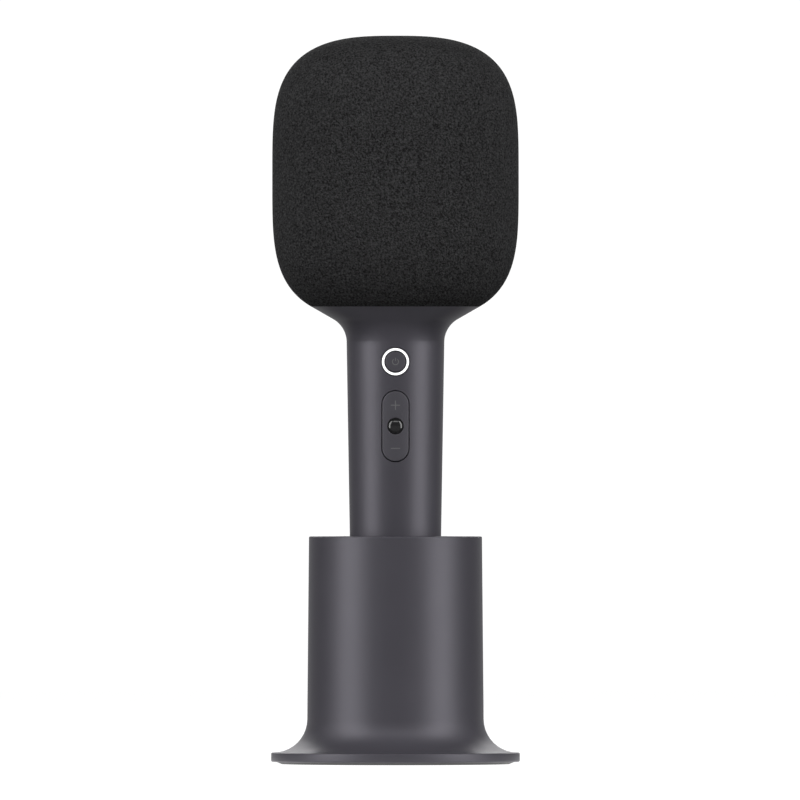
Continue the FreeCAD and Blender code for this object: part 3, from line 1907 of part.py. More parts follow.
def capsule_bracket():
    """The pedestal on the speaker box that holds the capsule's boot."""
    bore = sheet.capsule_radius + sheet.boot_wall
    radius = bore + sheet.bracket_wall
    floor = levels.capsule_base + (sheet.capsule_height - sheet.boot_height) / 2
    body = upright(radius, levels.speaker_height, floor + sheet.bracket_ring_height)
    body = body.cut(speaker_drum(sheet.box_radius))
    body = body.cut(upright(bore, floor, floor + sheet.bracket_ring_height))
    body = body.cut(upright(sheet.bracket_bore, levels.speaker_height, floor))
    body = body.cut(upright(sheet.capsule_radius, levels.capsule_base, floor))
    entry = Part.makeCylinder(
        sheet.lead_radius + sheet.fit_gap,
        radius,
        FreeCAD.Vector(0, 0, capsule_lead_height()),
        FreeCAD.Vector(1, 0, 0),
    )
    return feature("capsule_bracket", body.cut(entry))


def capsule_lead_height():
    """The height at which the capsule's lead runs, touching the capsule's underside."""
    return levels.capsule_base - sheet.lead_radius


def rounded_path(points, bend):
    """Straight runs through a list of points, joined by tangent arcs of one bend radius."""
    edges, start = [], points[0]
    for before, corner, after in zip(points, points[1:], points[2:]):
        inward = (before - corner).normalize()
        outward = (after - corner).normalize()
        half = inward.getAngle(outward) / 2
        reach = bend / math.tan(half)
        first, last = corner + inward * reach, corner + outward * reach
        centre = corner + (inward + outward).normalize() * (bend / math.sin(half))
        middle = centre + (corner - centre).normalize() * bend
        edges.append(Part.makeLine(start, first))
        edges.append(Part.Arc(first, middle, last).toShape())
        start = last
    edges.append(Part.makeLine(start, points[-1]))
    return Part.Wire(edges)


def lead(points):
    """One round lead along its rounded path."""
    path = rounded_path(points, sheet.lead_bend)
    direction = (points[1] - points[0]).normalize()
    ring = Part.Wire([Part.makeCircle(sheet.lead_radius, points[0], direction)])
    return path.makePipeShell([ring], True, True)


def lead_start(x, drop):
    """Where a lead leaves the back of the board, and the point at which it turns upwards."""
    height = levels.board_top - drop
    return [
        FreeCAD.Vector(x, -levels.board_back, height),
        FreeCAD.Vector(x, sheet.lead_reach - levels.board_back, height),
    ]


def speaker_leads():
    """The two leads from the back of the board, through the head frame to the speaker box."""
    drum = speaker_drum(sheet.box_radius)
    leads = []
    for x, y in lead_holes()[:2]:
        points = lead_start(x, sheet.speaker_lead_drop)
        points.append(FreeCAD.Vector(x, y, levels.board_top + sheet.lead_rise))
        points.append(FreeCAD.Vector(x, y, levels.speaker_height - 0.9 * sheet.box_radius))
        leads.append(lead(points).cut(drum))
    return feature("speaker_leads", Part.makeCompound(leads))


def capsule_lead():
    """The lead from the back of the board, round outside the speaker box, to the capsule."""
    x, y = lead_holes()[2]
    middle, reach = levels.speaker_height, sheet.box_radius
    level = capsule_lead_height()
    points = lead_start(sheet.board_width / 2 - sheet.lead_edge, sheet.capsule_lead_drop)
    points += [
        FreeCAD.Vector(x, y, levels.board_top + sheet.lead_rise + 1),
        FreeCAD.Vector(x, y, middle - 1.13 * reach),
        FreeCAD.Vector(0.87 * reach, 0.8 * y, middle - 0.87 * reach),
        FreeCAD.Vector(1.13 * reach, 0.6 * y, middle),
        FreeCAD.Vector(0.87 * reach, 0.3 * y, middle + 0.87 * reach),
        FreeCAD.Vector(0.6 * reach, 0, level),
        FreeCAD.Vector(-sheet.lead_radius, 0, level),
    ]
    return feature("capsule_lead", lead(points))


# ---- all of it -----------------------------------------------------------------------------


def build():
    """Makes every sub-part and returns the objects whose labels name the parts."""
    block = grip_block()
    parts = [
        stand_shell(),
        base_plate(),
        stand_weight(),
        stand_screws(),
        socket_cup(),
        mouth_ring(),
        socket_pad(),
        foot_ring(),
        handle_shell(),
        head_frame(),
        frame_screws(),
        windscreen(),
        grille_half("grille_front", -1),
        grille_half("grille_rear", 1),
        light_ring(block),
        power_button(block),
        effect_button(),
        volume_rocker(block),
        button_carrier(),
        main_board(),
        board_screws(),
        wireless_module(),
        status_leds(),
        usb_socket(),
        bottom_cap(),
        cap_screws(),
        battery_cell(),
        battery_tabs(),
        battery_cradle(),
        speaker_box(),
        speaker_baffle(),
        baffle_screws(),
        washer(
            "baffle_gasket",
            "box_radius - box_wall + fit_gap",
            "box_radius - fit_gap",
            front("baffle_back"),
            front("box_front"),
        ),
        washer(
            "driver_gasket",
            "baffle_hole",
            "frame_flange_radius",
            front("flange_back"),
            front("baffle_face"),
        ),
        speaker_frame(),
        washer(
            "top_plate", "gap_radius", "motor_radius", front("motor_face"), front("magnet_face")
        ),
        washer(
            "speaker_magnet", "magnet_bore", "magnet_radius", front("magnet_face"), front("yoke_face")
        ),
        speaker_yoke(),
        speaker_cone(),
        voice_coil(),
        dust_cap(),
        cone_surround(),
        spider(),
        radiator_surround(),
        passive_radiator(),
        capsule(),
        capsule_boot(),
        capsule_bracket(),
        speaker_leads(),
        capsule_lead(),
    ]
    for name, height in SWITCH_HEIGHTS.items():
        parts.extend(push_switch(name, height))
    return parts


def check_and_write(parts):
    """Stops on any failed object or bad shape, and then writes one STEP file for each part."""
    doc.recompute()
    failed = [o.Name for o in doc.Objects if {"Invalid", "Error"} & set(o.State)]
    if failed:
        raise SystemExit(f"these objects failed: {failed}")
    for part in parts:
        shape = part.Shape
        if shape.isNull() or not shape.isValid() or not shape.Solids:
            raise SystemExit(f"{part.Label} has no valid solid")
    os.makedirs("parts", exist_ok=True)
    for part in parts:
        part.Shape.exportStep(os.path.join("parts", part.Label + ".step"))


check_and_write(build())
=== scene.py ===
import math

import bmesh
import bpy
import numpy as np
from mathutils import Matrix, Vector


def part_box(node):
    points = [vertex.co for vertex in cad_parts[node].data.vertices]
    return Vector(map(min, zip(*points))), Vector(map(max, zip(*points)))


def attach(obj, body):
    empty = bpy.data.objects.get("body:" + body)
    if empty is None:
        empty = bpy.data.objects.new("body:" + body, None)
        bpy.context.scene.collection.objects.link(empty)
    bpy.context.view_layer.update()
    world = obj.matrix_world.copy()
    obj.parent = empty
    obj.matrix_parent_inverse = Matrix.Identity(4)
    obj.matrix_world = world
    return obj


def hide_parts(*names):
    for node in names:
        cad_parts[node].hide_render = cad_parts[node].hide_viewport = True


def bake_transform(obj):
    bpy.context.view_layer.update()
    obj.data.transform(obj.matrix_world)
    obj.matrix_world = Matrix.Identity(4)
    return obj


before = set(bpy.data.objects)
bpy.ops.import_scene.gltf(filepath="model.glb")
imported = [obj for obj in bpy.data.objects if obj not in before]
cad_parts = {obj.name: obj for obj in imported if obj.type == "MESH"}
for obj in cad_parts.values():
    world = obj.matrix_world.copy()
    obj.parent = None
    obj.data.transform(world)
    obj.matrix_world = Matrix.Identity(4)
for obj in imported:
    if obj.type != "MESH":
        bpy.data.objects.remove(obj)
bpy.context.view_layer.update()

# ---- The room ------------------------------------------------------------------------------
# A long lens level with the middle of the microphone, a white table and a room that is bright
# behind. Two tall soft lights stand to the left and right, a wide one hangs in front above, one
# stands behind, and a faint one lies on the table.

camera = bpy.data.objects.new("camera", bpy.data.cameras.new("camera"))
bpy.context.scene.collection.objects.link(camera)
bpy.context.scene.camera = camera
bpy.context.scene.view_settings.view_transform = "Standard"
camera.data.sensor_width = 36
camera.data.lens = 1500
camera.data.clip_end = 200
camera.location = (0.001614, -11.9, 0.12995)
camera.rotation_euler = (math.pi / 2, 0, 0)


def soft_light(name, place, target, width, height, watts):
    light = bpy.data.lights.new(name, "AREA")
    light.shape = "RECTANGLE"
    light.size, light.size_y, light.energy = width, height, watts
    lamp = bpy.data.objects.new(name, light)
    bpy.context.scene.collection.objects.link(lamp)
    lamp.location = place
    lamp.rotation_euler = (Vector(target) - Vector(place)).to_track_quat("-Z", "Y").to_euler()
    lamp.visible_camera = False


for side in (-1, 1):
    soft_light(f"strip_{side + 1}", (side * 1.30, -0.68, 0.60), (0, 0, 0.20), 0.95, 2.0, 35)
soft_light("front_top", (0, -1.35, 1.35), (0, 0, 0.2), 1.2, 0.5, 6)
soft_light("back_panel", (0, 1.9, 0.95), (0, 0, 0.1), 2.0, 0.6, 14)
soft_light("floor_bounce", (0, -0.30, 0.002), (0, 0, 0.16), 0.6, 0.3, 0.13)

# The room's light grows towards the back, and sooner in directions that look down at the table.
room = bpy.data.worlds.new("room")
bpy.context.scene.world = room
room.use_nodes = True
tree = room.node_tree
tree.nodes.clear()
aim = tree.nodes.new("ShaderNodeTexCoord")
lean = tree.nodes.new("ShaderNodeVectorMath")
lean.operation = "DOT_PRODUCT"
lean.inputs[1].default_value = (0, 1, -0.2)
fade = tree.nodes.new("ShaderNodeMapRange")
fade.interpolation_type = "SMOOTHSTEP"
fade.inputs["From Min"].default_value = 0.66
fade.inputs["From Max"].default_value = 0.84
fade.inputs["To Min"].default_value = 0.088
fade.inputs["To Max"].default_value = 0.55
seen = tree.nodes.new("ShaderNodeLightPath")
glow = tree.nodes.new("ShaderNodeMix")
glow.inputs["B"].default_value = 1.05
background = tree.nodes.new("ShaderNodeBackground")
background.inputs["Color"].default_value = (1, 1, 1, 1)
world_out = tree.nodes.new("ShaderNodeOutputWorld")
tree.links.new(aim.outputs["Generated"], lean.inputs[0])
tree.links.new(lean.outputs["Value"], fade.inputs["Value"])
tree.links.new(seen.outputs["Is Camera Ray"], glow.inputs["Factor"])
tree.links.new(fade.outputs["Result"], glow.inputs["A"])
tree.links.new(glow.outputs["Result"], background.inputs["Strength"])
tree.links.new(background.outputs[0], world_out.inputs[0])


def flat_square(name, half, height):
    mesh = bpy.data.meshes.new(name)
    turns = ((-1, -1), (1, -1), (1, 1), (-1, 1))
    corners = [(x * half, y * half, height) for x, y in turns]
    mesh.from_pydata(corners, [], [(0, 1, 2, 3)])
    square = bpy.data.objects.new(name, mesh)
    bpy.context.scene.collection.objects.link(square)
    return square


# Only the camera sees the table. A small bright card under it, which the camera does not see,
# takes its place in glossy reflections.
table = flat_square("table", 3, 0)
table.visible_glossy = False
table.visible_diffuse = False
white = bpy.data.materials.new("table_white")
white.use_nodes = True
tree = white.node_tree
tree.nodes.clear()
sheen = tree.nodes.new("ShaderNodeEmission")
sheen.inputs["Strength"].default_value = 0.98
chalk = tree.nodes.new("ShaderNodeBsdfDiffuse")
chalk.inputs["Color"].default_value = (0.12, 0.12, 0.12, 1)
both = tree.nodes.new("ShaderNodeAddShader")
out = tree.nodes.new("ShaderNodeOutputMaterial")
tree.links.new(sheen.outputs[0], both.inputs[0])
tree.links.new(chalk.outputs[0], both.inputs[1])
tree.links.new(both.outputs[0], out.inputs["Surface"])
table.data.materials.append(white)
card = flat_square("table_glint", 0.064, -0.0001)
card.visible_camera = False
card.visible_diffuse = False
card_white = bpy.data.materials.new("card_white")
card_white.use_nodes = True
tree = card_white.node_tree
tree.nodes.clear()
card_glow = tree.nodes.new("ShaderNodeEmission")
card_glow.inputs["Strength"].default_value = 1.7
card_out = tree.nodes.new("ShaderNodeOutputMaterial")
tree.links.new(card_glow.outputs[0], card_out.inputs["Surface"])
card.data.materials.append(card_white)

# ---- Stand shell ---------------------------------------------------------------------------
# The column of the desk stand, one injection moulding in satin black with a flared foot. Its
# deck has the round hole that the socket hangs in, and its foot takes the base plate.

COLUMN_TOP, COLUMN_FOOT, STAND_HEIGHT = 0.0309, 0.0316, 0.0813
FLANGE, FLANGE_LOW, FLANGE_HIGH = 0.0444, 0.0008, 0.0041
FLARE, RIM_ROUND, HOLE_ROUND, STAND_WALL = 0.0120, 0.0005, 0.0002, 0.0024
DECK_THICK, PLATE_TOP = 0.0030, 0.0028
mouth_low, mouth_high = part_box("mouth_ring")


def rounded(corners, steps=10):
    """A closed outline from (x, y, radius) corners, each with its arc."""
    made, count = [], len(corners)
    for k, (x, y, radius) in enumerate(corners):
        corner = np.array((x, y))
        if radius == 0:
            made.append(corner)
            continue
        before = np.array(corners[k - 1][:2]) - corner
        after = np.array(corners[(k + 1) % count][:2]) - corner
        before, after = before / np.linalg.norm(before), after / np.linalg.norm(after)
        half = math.acos(np.clip(before @ after, -1, 1)) / 2
        middle = (before + after) / np.linalg.norm(before + after)
        centre = corner + middle * radius / math.sin(half)
        first = corner + before * radius / math.tan(half) - centre
        last = corner + after * radius / math.tan(half) - centre
        sweep = math.pi - 2 * half
        for s in range(steps + 1):
            t = s / steps
            share = (math.sin((1 - t) * sweep), math.sin(t * sweep))
            made.append(centre + (first * share[0] + last * share[1]) / math.sin(sweep))
    return made


def new_tree(name, inputs):
    """A Geometry Nodes tree with named inputs, and its group input and output nodes."""
    tree = bpy.data.node_groups.new(name, "GeometryNodeTree")
    for label, kind in inputs:
        tree.interface.new_socket(label, in_out="INPUT", socket_type=f"NodeSocket{kind}")
    tree.interface.new_socket("Piece", in_out="OUTPUT", socket_type="NodeSocketGeometry")
    return tree, tree.nodes.new("NodeGroupInput"), tree.nodes.new("NodeGroupOutput")


def grown(piece, tree, values, sharp=35):
    """Runs a tree on a piece with its inputs set, and leaves a plain smooth mesh."""
    grower = piece.modifiers.new(tree.name, "NODES")
    grower.node_group = tree
    for item in tree.interface.items_tree:
        if item.name in values:
            grower[item.identifier] = values[item.name]
    settled(piece)
    facing_out(piece.data)
    smoothed(piece.data, sharp)
    return piece


def settled(piece):
    """Gives a piece the mesh that its modifiers make, and drops them."""
    made = piece.evaluated_get(bpy.context.evaluated_depsgraph_get())
    mesh = bpy.data.meshes.new_from_object(made)
    piece.modifiers.clear()
    piece.data = mesh


def smoothed(mesh, sharp=35):
    """Shades a mesh smooth, except over edges sharper than an angle in degrees."""
    mesh.polygons.foreach_set("use_smooth", np.ones(len(mesh.polygons), bool))
    mesh.set_sharp_from_angle(angle=math.radians(sharp))


def facing_out(mesh):
    work = bmesh.new()
    work.from_mesh(mesh)
    bmesh.ops.recalc_face_normals(work, faces=work.faces)
    work.to_mesh(mesh)
    work.free()


def loose(name, points, edges=(), faces=()):
    """A new object from plain points, edges and faces."""
    mesh = bpy.data.meshes.new(name)
    mesh.from_pydata([tuple(map(float, p)) for p in points], edges, faces)
    piece = bpy.data.objects.new(name, mesh)
    bpy.context.scene.collection.objects.link(piece)
    return piece


# The tree carries a closed outline round a circle, as a lathe does.
turning, given, made = new_tree("turning", [
    ("Outline", "Geometry"), ("Path Radius", "Float"), ("Segments", "Int"), ("Finish", "Material")])
path = turning.nodes.new("GeometryNodeCurvePrimitiveCircle")
profile = turning.nodes.new("GeometryNodeMeshToCurve")
sweep = turning.nodes.new("GeometryNodeCurveToMesh")
seam_weld = turning.nodes.new("GeometryNodeMergeByDistance")
seam_weld.inputs["Distance"].default_value = 1e-6
whole = turning.nodes.new("GeometryNodeRealizeInstances")
painted = turning.nodes.new("GeometryNodeSetMaterial")
link = turning.links.new
link(given.outputs["Outline"], profile.inputs["Mesh"])
link(given.outputs["Path Radius"], path.inputs["Radius"])
link(given.outputs["Segments"], path.inputs["Resolution"])
link(path.outputs["Curve"], sweep.inputs["Curve"])
link(profile.outputs["Curve"], sweep.inputs["Profile Curve"])
link(sweep.outputs["Mesh"], seam_weld.inputs["Geometry"])
link(seam_weld.outputs["Geometry"], whole.inputs["Geometry"])
link(whole.outputs["Geometry"], painted.inputs["Geometry"])
link(given.outputs["Finish"], painted.inputs["Material"])
link(painted.outputs["Geometry"], made.inputs["Piece"])


def turned(name, outline, finish, segments=256):
    """A piece of revolution about +Z from a closed outline of (radius, height)."""
    path_radius = 0.06
    points = [(radius - path_radius, -height, 0) for radius, height in outline]
    count = len(points)
    piece = loose(name, points, [(k, (k + 1) % count) for k in range(count)])
    return grown(piece, turning, {
        "Path Radius": path_radius, "Segments": segments, "Finish": finish})


def surface(name, colour, rough, grain=0.00012, depth=0.06, level=0.5, patches=0.05,
            metal=0.0, stretch=(1, 1, 1), glint=(1, 1, 1)):
    """A plain finish: a fine grain or brushing, uneven gloss, and a slightly uneven tone."""
    finish = bpy.data.materials.new(name)
    finish.use_nodes = True
    tree = finish.node_tree
    body = tree.nodes["Principled BSDF"]
    body.inputs["Specular IOR Level"].default_value = level
    body.inputs["Metallic"].default_value = metal
    body.inputs["Specular Tint"].default_value = (*glint, 1)
    place = tree.nodes.new("ShaderNodeTexCoord")
    drawn = tree.nodes.new("ShaderNodeMapping")
    drawn.inputs["Scale"].default_value = stretch
    cloud = tree.nodes.new("ShaderNodeTexNoise")
    cloud.inputs["Scale"].default_value = 60
    cloud.inputs["Detail"].default_value = 4
    tone = tree.nodes.new("ShaderNodeMix")
    tone.data_type = "RGBA"
    tone.inputs[6].default_value = (*(c * (1 - patches) for c in colour), 1)
    tone.inputs[7].default_value = (*(c * (1 + patches) for c in colour), 1)
    gloss = tree.nodes.new("ShaderNodeMapRange")
    gloss.inputs["To Min"].default_value = max(0.02, rough - 0.03)
    gloss.inputs["To Max"].default_value = rough + 0.03
    speck = tree.nodes.new("ShaderNodeTexNoise")
    speck.inputs["Scale"].default_value = 1 / grain
    speck.inputs["Detail"].default_value = 2
    bump = tree.nodes.new("ShaderNodeBump")
    bump.inputs["Strength"].default_value = 1
    bump.inputs["Distance"].default_value = depth * grain
    link = tree.links.new
    link(place.outputs["Object"], cloud.inputs["Vector"])
    link(place.outputs["Object"], drawn.inputs["Vector"])
    link(drawn.outputs["Vector"], speck.inputs["Vector"])
    link(cloud.outputs["Fac"], tone.inputs["Factor"])
    link(tone.outputs[2], body.inputs["Base Color"])
    link(cloud.outputs["Fac"], gloss.inputs["Value"])
    link(gloss.outputs["Result"], body.inputs["Roughness"])
    link(speck.outputs["Fac"], bump.inputs["Height"])
    link(bump.outputs["Normal"], body.inputs["Normal"])
    return finish


def dress(finish, *nodes):
    """Gives carried-over parts their finish."""
    for node in nodes:
        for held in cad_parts[node].material_slots:
            held.material = finish


VIOLET_GLINT = (0.93, 0.90, 1.0)
satin_black = surface("satin_black", (0.037, 0.0352, 0.0425), 0.47, glint=VIOLET_GLINT)
stand_shell = turned("stand_column", rounded([
    (FLANGE, FLANGE_LOW, RIM_ROUND),
    (FLANGE, FLANGE_HIGH, RIM_ROUND),
    (COLUMN_FOOT, FLANGE_HIGH, FLARE),
    (COLUMN_TOP, STAND_HEIGHT, RIM_ROUND),
    (mouth_high.x, STAND_HEIGHT, HOLE_ROUND),
    (mouth_high.x, STAND_HEIGHT - DECK_THICK, 0),
    (COLUMN_TOP - STAND_WALL, STAND_HEIGHT - DECK_THICK, 0),
    (COLUMN_FOOT - STAND_WALL, FLANGE_HIGH + FLARE - STAND_WALL, 0),
    (COLUMN_FOOT + 0.5 * FLARE - STAND_WALL, PLATE_TOP, 0),
    (FLANGE - STAND_WALL, PLATE_TOP, 0),
    (FLANGE - STAND_WALL, FLANGE_LOW, 0),
]), satin_black, 320)
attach(stand_shell, "stand")
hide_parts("stand_shell")

# ---- Base plate and its ballast ------------------------------------------------------------
# A plain moulded cover screwed under the foot, with a tube that props the socket. A rough iron
# ring sits on it round that tube and keeps the stand from tipping.

inner_black = surface("inner_black", (0.030, 0.030, 0.032), 0.55, grain=0.0002, depth=0.08)
dress(inner_black, "base_plate")
cast_iron = surface("cast_iron", (0.16, 0.155, 0.15), 0.7, grain=0.0009, depth=0.25, patches=0.25,
                    metal=0.7)
dress(cast_iron, "stand_weight")

# ---- Stand screws --------------------------------------------------------------------------
# Four black self-tapping screws with crossed recesses, driven up through the base plate into
# the shell's bosses. One screw is modelled, and copied to each hole.

setting, given, made = new_tree("setting_screws", [
    ("Seats", "Geometry"), ("Head Radius", "Float"), ("Head Height", "Float"),
    ("Shank Radius", "Float"), ("Length", "Float"), ("Turn", "Rotation"), ("Finish", "Material")])
link = setting.links.new
HEAD_BEVEL, SHANK_TIP, CROSS_LONG, CROSS_WIDE = 0.8, 0.7, 1.2, 0.24


def worked(operation, first, second):
    """A number made from two others inside the tree."""
    sum_node = setting.nodes.new("ShaderNodeMath")
    sum_node.operation = operation
    for socket, value in zip(sum_node.inputs, (first, second)):
        if isinstance(value, (int, float)):
            socket.default_value = value
        else:
            link(value, socket)
    return sum_node.outputs[0]


def shifted(geometry, height):
    """A mesh raised to a height inside the tree."""
    lift = setting.nodes.new("ShaderNodeCombineXYZ")
    link(height, lift.inputs["Z"])
    move = setting.nodes.new("GeometryNodeTransform")
    link(geometry, move.inputs["Geometry"])
    link(lift.outputs["Vector"], move.inputs["Translation"])
    return move.outputs["Geometry"]


head = setting.nodes.new("GeometryNodeMeshCone")
head.inputs["Vertices"].default_value = 32
link(given.outputs["Head Radius"], head.inputs["Radius Top"])
link(worked("MULTIPLY", given.outputs["Head Radius"], HEAD_BEVEL), head.inputs["Radius Bottom"])
link(given.outputs["Head Height"], head.inputs["Depth"])
below = worked("MULTIPLY", given.outputs["Head Height"], -1)
crossed = setting.nodes.new("GeometryNodeMeshBoolean")
crossed.operation = "DIFFERENCE"
crossed.solver = "EXACT"
crossed.inputs["Self Intersection"].default_value = True
link(shifted(head.outputs["Mesh"], below), crossed.inputs["Mesh 1"])
for long_side in range(2):
    wing = setting.nodes.new("GeometryNodeMeshCube")
    size = setting.nodes.new("ShaderNodeCombineXYZ")
    spans = [worked("MULTIPLY", given.outputs["Head Radius"], share)
             for share in (CROSS_LONG, CROSS_WIDE)]
    link(spans[long_side], size.inputs["X"])
    link(spans[1 - long_side], size.inputs["Y"])
    link(given.outputs["Head Height"], size.inputs["Z"])
    link(size.outputs["Vector"], wing.inputs["Size"])
    link(shifted(wing.outputs["Mesh"], below), crossed.inputs["Mesh 2"])
shank = setting.nodes.new("GeometryNodeMeshCone")
shank.inputs["Vertices"].default_value = 20
link(worked("MULTIPLY", given.outputs["Shank Radius"], SHANK_TIP), shank.inputs["Radius Top"])
link(given.outputs["Shank Radius"], shank.inputs["Radius Bottom"])
link(given.outputs["Length"], shank.inputs["Depth"])
one_screw = setting.nodes.new("GeometryNodeJoinGeometry")
link(crossed.outputs["Mesh"], one_screw.inputs["Geometry"])
link(shank.outputs["Mesh"], one_screw.inputs["Geometry"])
copied = setting.nodes.new("GeometryNodeInstanceOnPoints")
link(given.outputs["Seats"], copied.inputs["Points"])
link(one_screw.outputs["Geometry"], copied.inputs["Instance"])
link(given.outputs["Turn"], copied.inputs["Rotation"])
whole = setting.nodes.new("GeometryNodeRealizeInstances")
painted = setting.nodes.new("GeometryNodeSetMaterial")
link(copied.outputs["Instances"], whole.inputs["Geometry"])
link(whole.outputs["Geometry"], painted.inputs["Geometry"])
link(given.outputs["Finish"], painted.inputs["Material"])
link(painted.outputs["Geometry"], made.inputs["Piece"])


def screws(node, body, sizes, seats, turn, finish):
    """Screws in place of a node's plain ones: head radius, head height, shank radius, length."""
    head_radius, head_height, shank_radius, length = sizes
    piece = grown(loose(f"{node}_set", seats), setting, {
        "Head Radius": head_radius, "Head Height": head_height, "Shank Radius": shank_radius,
        "Length": length, "Turn": turn, "Finish": finish})
    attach(piece, body)
    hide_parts(node)


HEAD_DOWN, HEAD_UP, HEAD_FRONT = (0, 0, 0), (math.pi, 0, 0), (-math.pi / 2, 0, 0)
black_screw = surface("black_oxide", (0.050, 0.050, 0.052), 0.42, grain=0.0004, metal=0.6)
STAND_SCREW = (0.0024, 0.0011, 0.0012, 0.0120)
low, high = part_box("stand_screws")
reach = high.x - STAND_SCREW[0]
screws("stand_screws", "stand", STAND_SCREW,
       [(x * reach, y * reach, low.z + STAND_SCREW[1]) for x in (-1, 1) for y in (-1, 1)],
       HEAD_DOWN, black_screw)

# ---- Foot ring -----------------------------------------------------------------------------
# A flat ring of black rubber glued under the flange, a little smaller than it, so that the
# stand seems to float on a dark line. Its outer edge is bevelled.

rubber = surface("soft_rubber", (0.020, 0.020, 0.021), 0.62, grain=0.00025, depth=0.1, level=0.3)
FOOT_HOLE, FOOT_LOW, FOOT_HIGH, FOOT_EDGE = 0.0340, 0.0406, 0.0426, 0.0002
foot = turned("foot_rubber", rounded([
    (FOOT_HOLE, 0, 0),
    (FOOT_LOW, 0, FOOT_EDGE),
    (FOOT_HIGH, FLANGE_LOW, 0),
    (FOOT_HOLE, FLANGE_LOW, 0),
]), rubber)
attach(foot, "stand")
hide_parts("foot_ring")

# ---- Socket, mouth ring and pad ------------------------------------------------------------
# A tapered cup hangs under the deck. The soft ring pressed into the deck's hole steadies the
# handle, and the rubber disc at the bottom of the cup is what the microphone stands on.

HANDLE_FOOT, TAPER, REST = 0.01546, 0.0165, 0.0300
MOUTH_GAP, MOUTH_LEAD, MOUTH_EDGE, PAD_EDGE = 0.0004, 0.0007, 0.0002, 0.0003
dress(inner_black, "socket_cup")
mouth_bore = HANDLE_FOOT + TAPER * (mouth_high.z - REST) + MOUTH_GAP
mouth = turned("mouth_rubber", rounded([
    (mouth_bore, mouth_low.z, 0),
    (mouth_high.x, mouth_low.z, 0),
    (mouth_high.x, mouth_high.z, MOUTH_EDGE),
    (mouth_bore, mouth_high.z, MOUTH_LEAD),
]), rubber)
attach(mouth, "stand")
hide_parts("mouth_ring")
pad_low, pad_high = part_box("socket_pad")
pad = turned("pad_rubber", rounded([
    (0, pad_low.z, 0),
    (pad_high.x, pad_low.z, 0),
    (pad_high.x, pad_high.z, PAD_EDGE),
    (0, pad_high.z, 0),
]), rubber, 96)
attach(pad, "stand")
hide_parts("socket_pad")

# ---- Handle shell --------------------------------------------------------------------------
# One tapered tube moulded with the flared oval neck under the head. The round hole is for the
# power button's ring and the long one for the volume rocker.

NECK_ARC, NECK_LEAN = 0.0093, math.radians(60)
SEAM = 0.1633
HEAD_HALF_X, HEAD_HALF_Y, HEAD_HALF_Z, HEAD_MIDDLE = 0.0440, 0.0330, 0.0509, 0.2091
CORNER_POWER, CROWN_POWER = 2.87, 3.88
HANDLE_WALL = 0.0020
POWER_AT, ROCKER_AT = 0.1436, 0.1206
POWER_HOLE, ROCKER_SLOT, ROCKER_HALF = 0.0052, 0.00503, 0.00782
CUT_FRONT, CUT_BACK = -0.030, -0.008
handle_count = 288


def skin(name, rings, looped=False, sharp=35):
    """A closed mesh over rings of points; a ring of one point closes an end."""
    starts = np.cumsum([0] + [len(r) for r in rings])
    points = np.concatenate([np.asarray(r, float).reshape(-1, 3) for r in rings])
    faces = []
    pairs = [(k, k + 1) for k in range(len(rings) - 1)]
    if looped:
        pairs.append((len(rings) - 1, 0))
    for a, b in pairs:
        count = max(len(rings[a]), len(rings[b]))
        i = np.arange(count)
        j = (i + 1) % count
        if len(rings[a]) == 1:
            quads = np.stack([np.full(count, starts[a]), starts[b] + j, starts[b] + i], 1)
        elif len(rings[b]) == 1:
            quads = np.stack([starts[a] + i, starts[a] + j, np.full(count, starts[b])], 1)
        else:
            quads = np.stack([starts[a] + i, starts[a] + j, starts[b] + j, starts[b] + i], 1)
        faces.extend(quads.tolist())
    piece = loose(name, points, faces=faces)
    facing_out(piece.data)
    smoothed(piece.data, sharp)
    return piece


def head_share(height, inset=0.0):
    rise = abs(height - HEAD_MIDDLE) / (HEAD_HALF_Z - inset)
    return max(0.0, 1 - rise**CROWN_POWER) ** (1 / CORNER_POWER)


def handle_radius(height):
    return HANDLE_FOOT + TAPER * (height - REST)


seam_x, seam_y = (half * head_share(SEAM) for half in (HEAD_HALF_X, HEAD_HALF_Y))
neck_push = seam_x - handle_radius(SEAM)
neck_flatness = (seam_y - handle_radius(SEAM)) / neck_push
neck_straight = (neck_push - NECK_ARC * (1 - math.cos(NECK_LEAN))) / math.tan(NECK_LEAN)
NECK_START = SEAM - neck_straight - NECK_ARC * math.sin(NECK_LEAN)


def handle_ring(height, wall, count):
    """The handle's outline at a height, a wall's thickness inside its skin."""
    push, power = 0.0, 2.0
    rise = height - NECK_START
    arc = NECK_ARC + wall
    if rise > 0:
        bend = arc * math.sin(NECK_LEAN)
        power += (CORNER_POWER - 2) * rise / (SEAM - NECK_START)
        if rise <= bend:
            push = arc - math.sqrt(arc**2 - rise**2)
        else:
            push = arc * (1 - math.cos(NECK_LEAN)) + (rise - bend) * math.tan(NECK_LEAN)
    base = handle_radius(height) - wall
    angle = (np.arange(count) + 0.5) * math.tau / count
    c, s = np.cos(angle), np.sin(angle)
    reach = (np.abs(c) ** power + np.abs(s) ** power) ** (-1 / power)
    ring = [(base + push) * reach * c, (base + push * neck_flatness) * reach * s]
    return np.column_stack([*ring, np.full(count, height)])


low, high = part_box("handle_shell")
outside = list(np.linspace(low.z, NECK_START, 84)) + list(np.linspace(NECK_START, SEAM, 40))[1:]
inside = list(np.linspace(SEAM, NECK_START, 16)) + list(np.linspace(NECK_START, low.z, 14))[1:]
rings = [handle_ring(z, 0, handle_count) for z in outside]
rings += [handle_ring(z, HANDLE_WALL, handle_count) for z in inside]
handle = skin("handle", rings, looped=True)


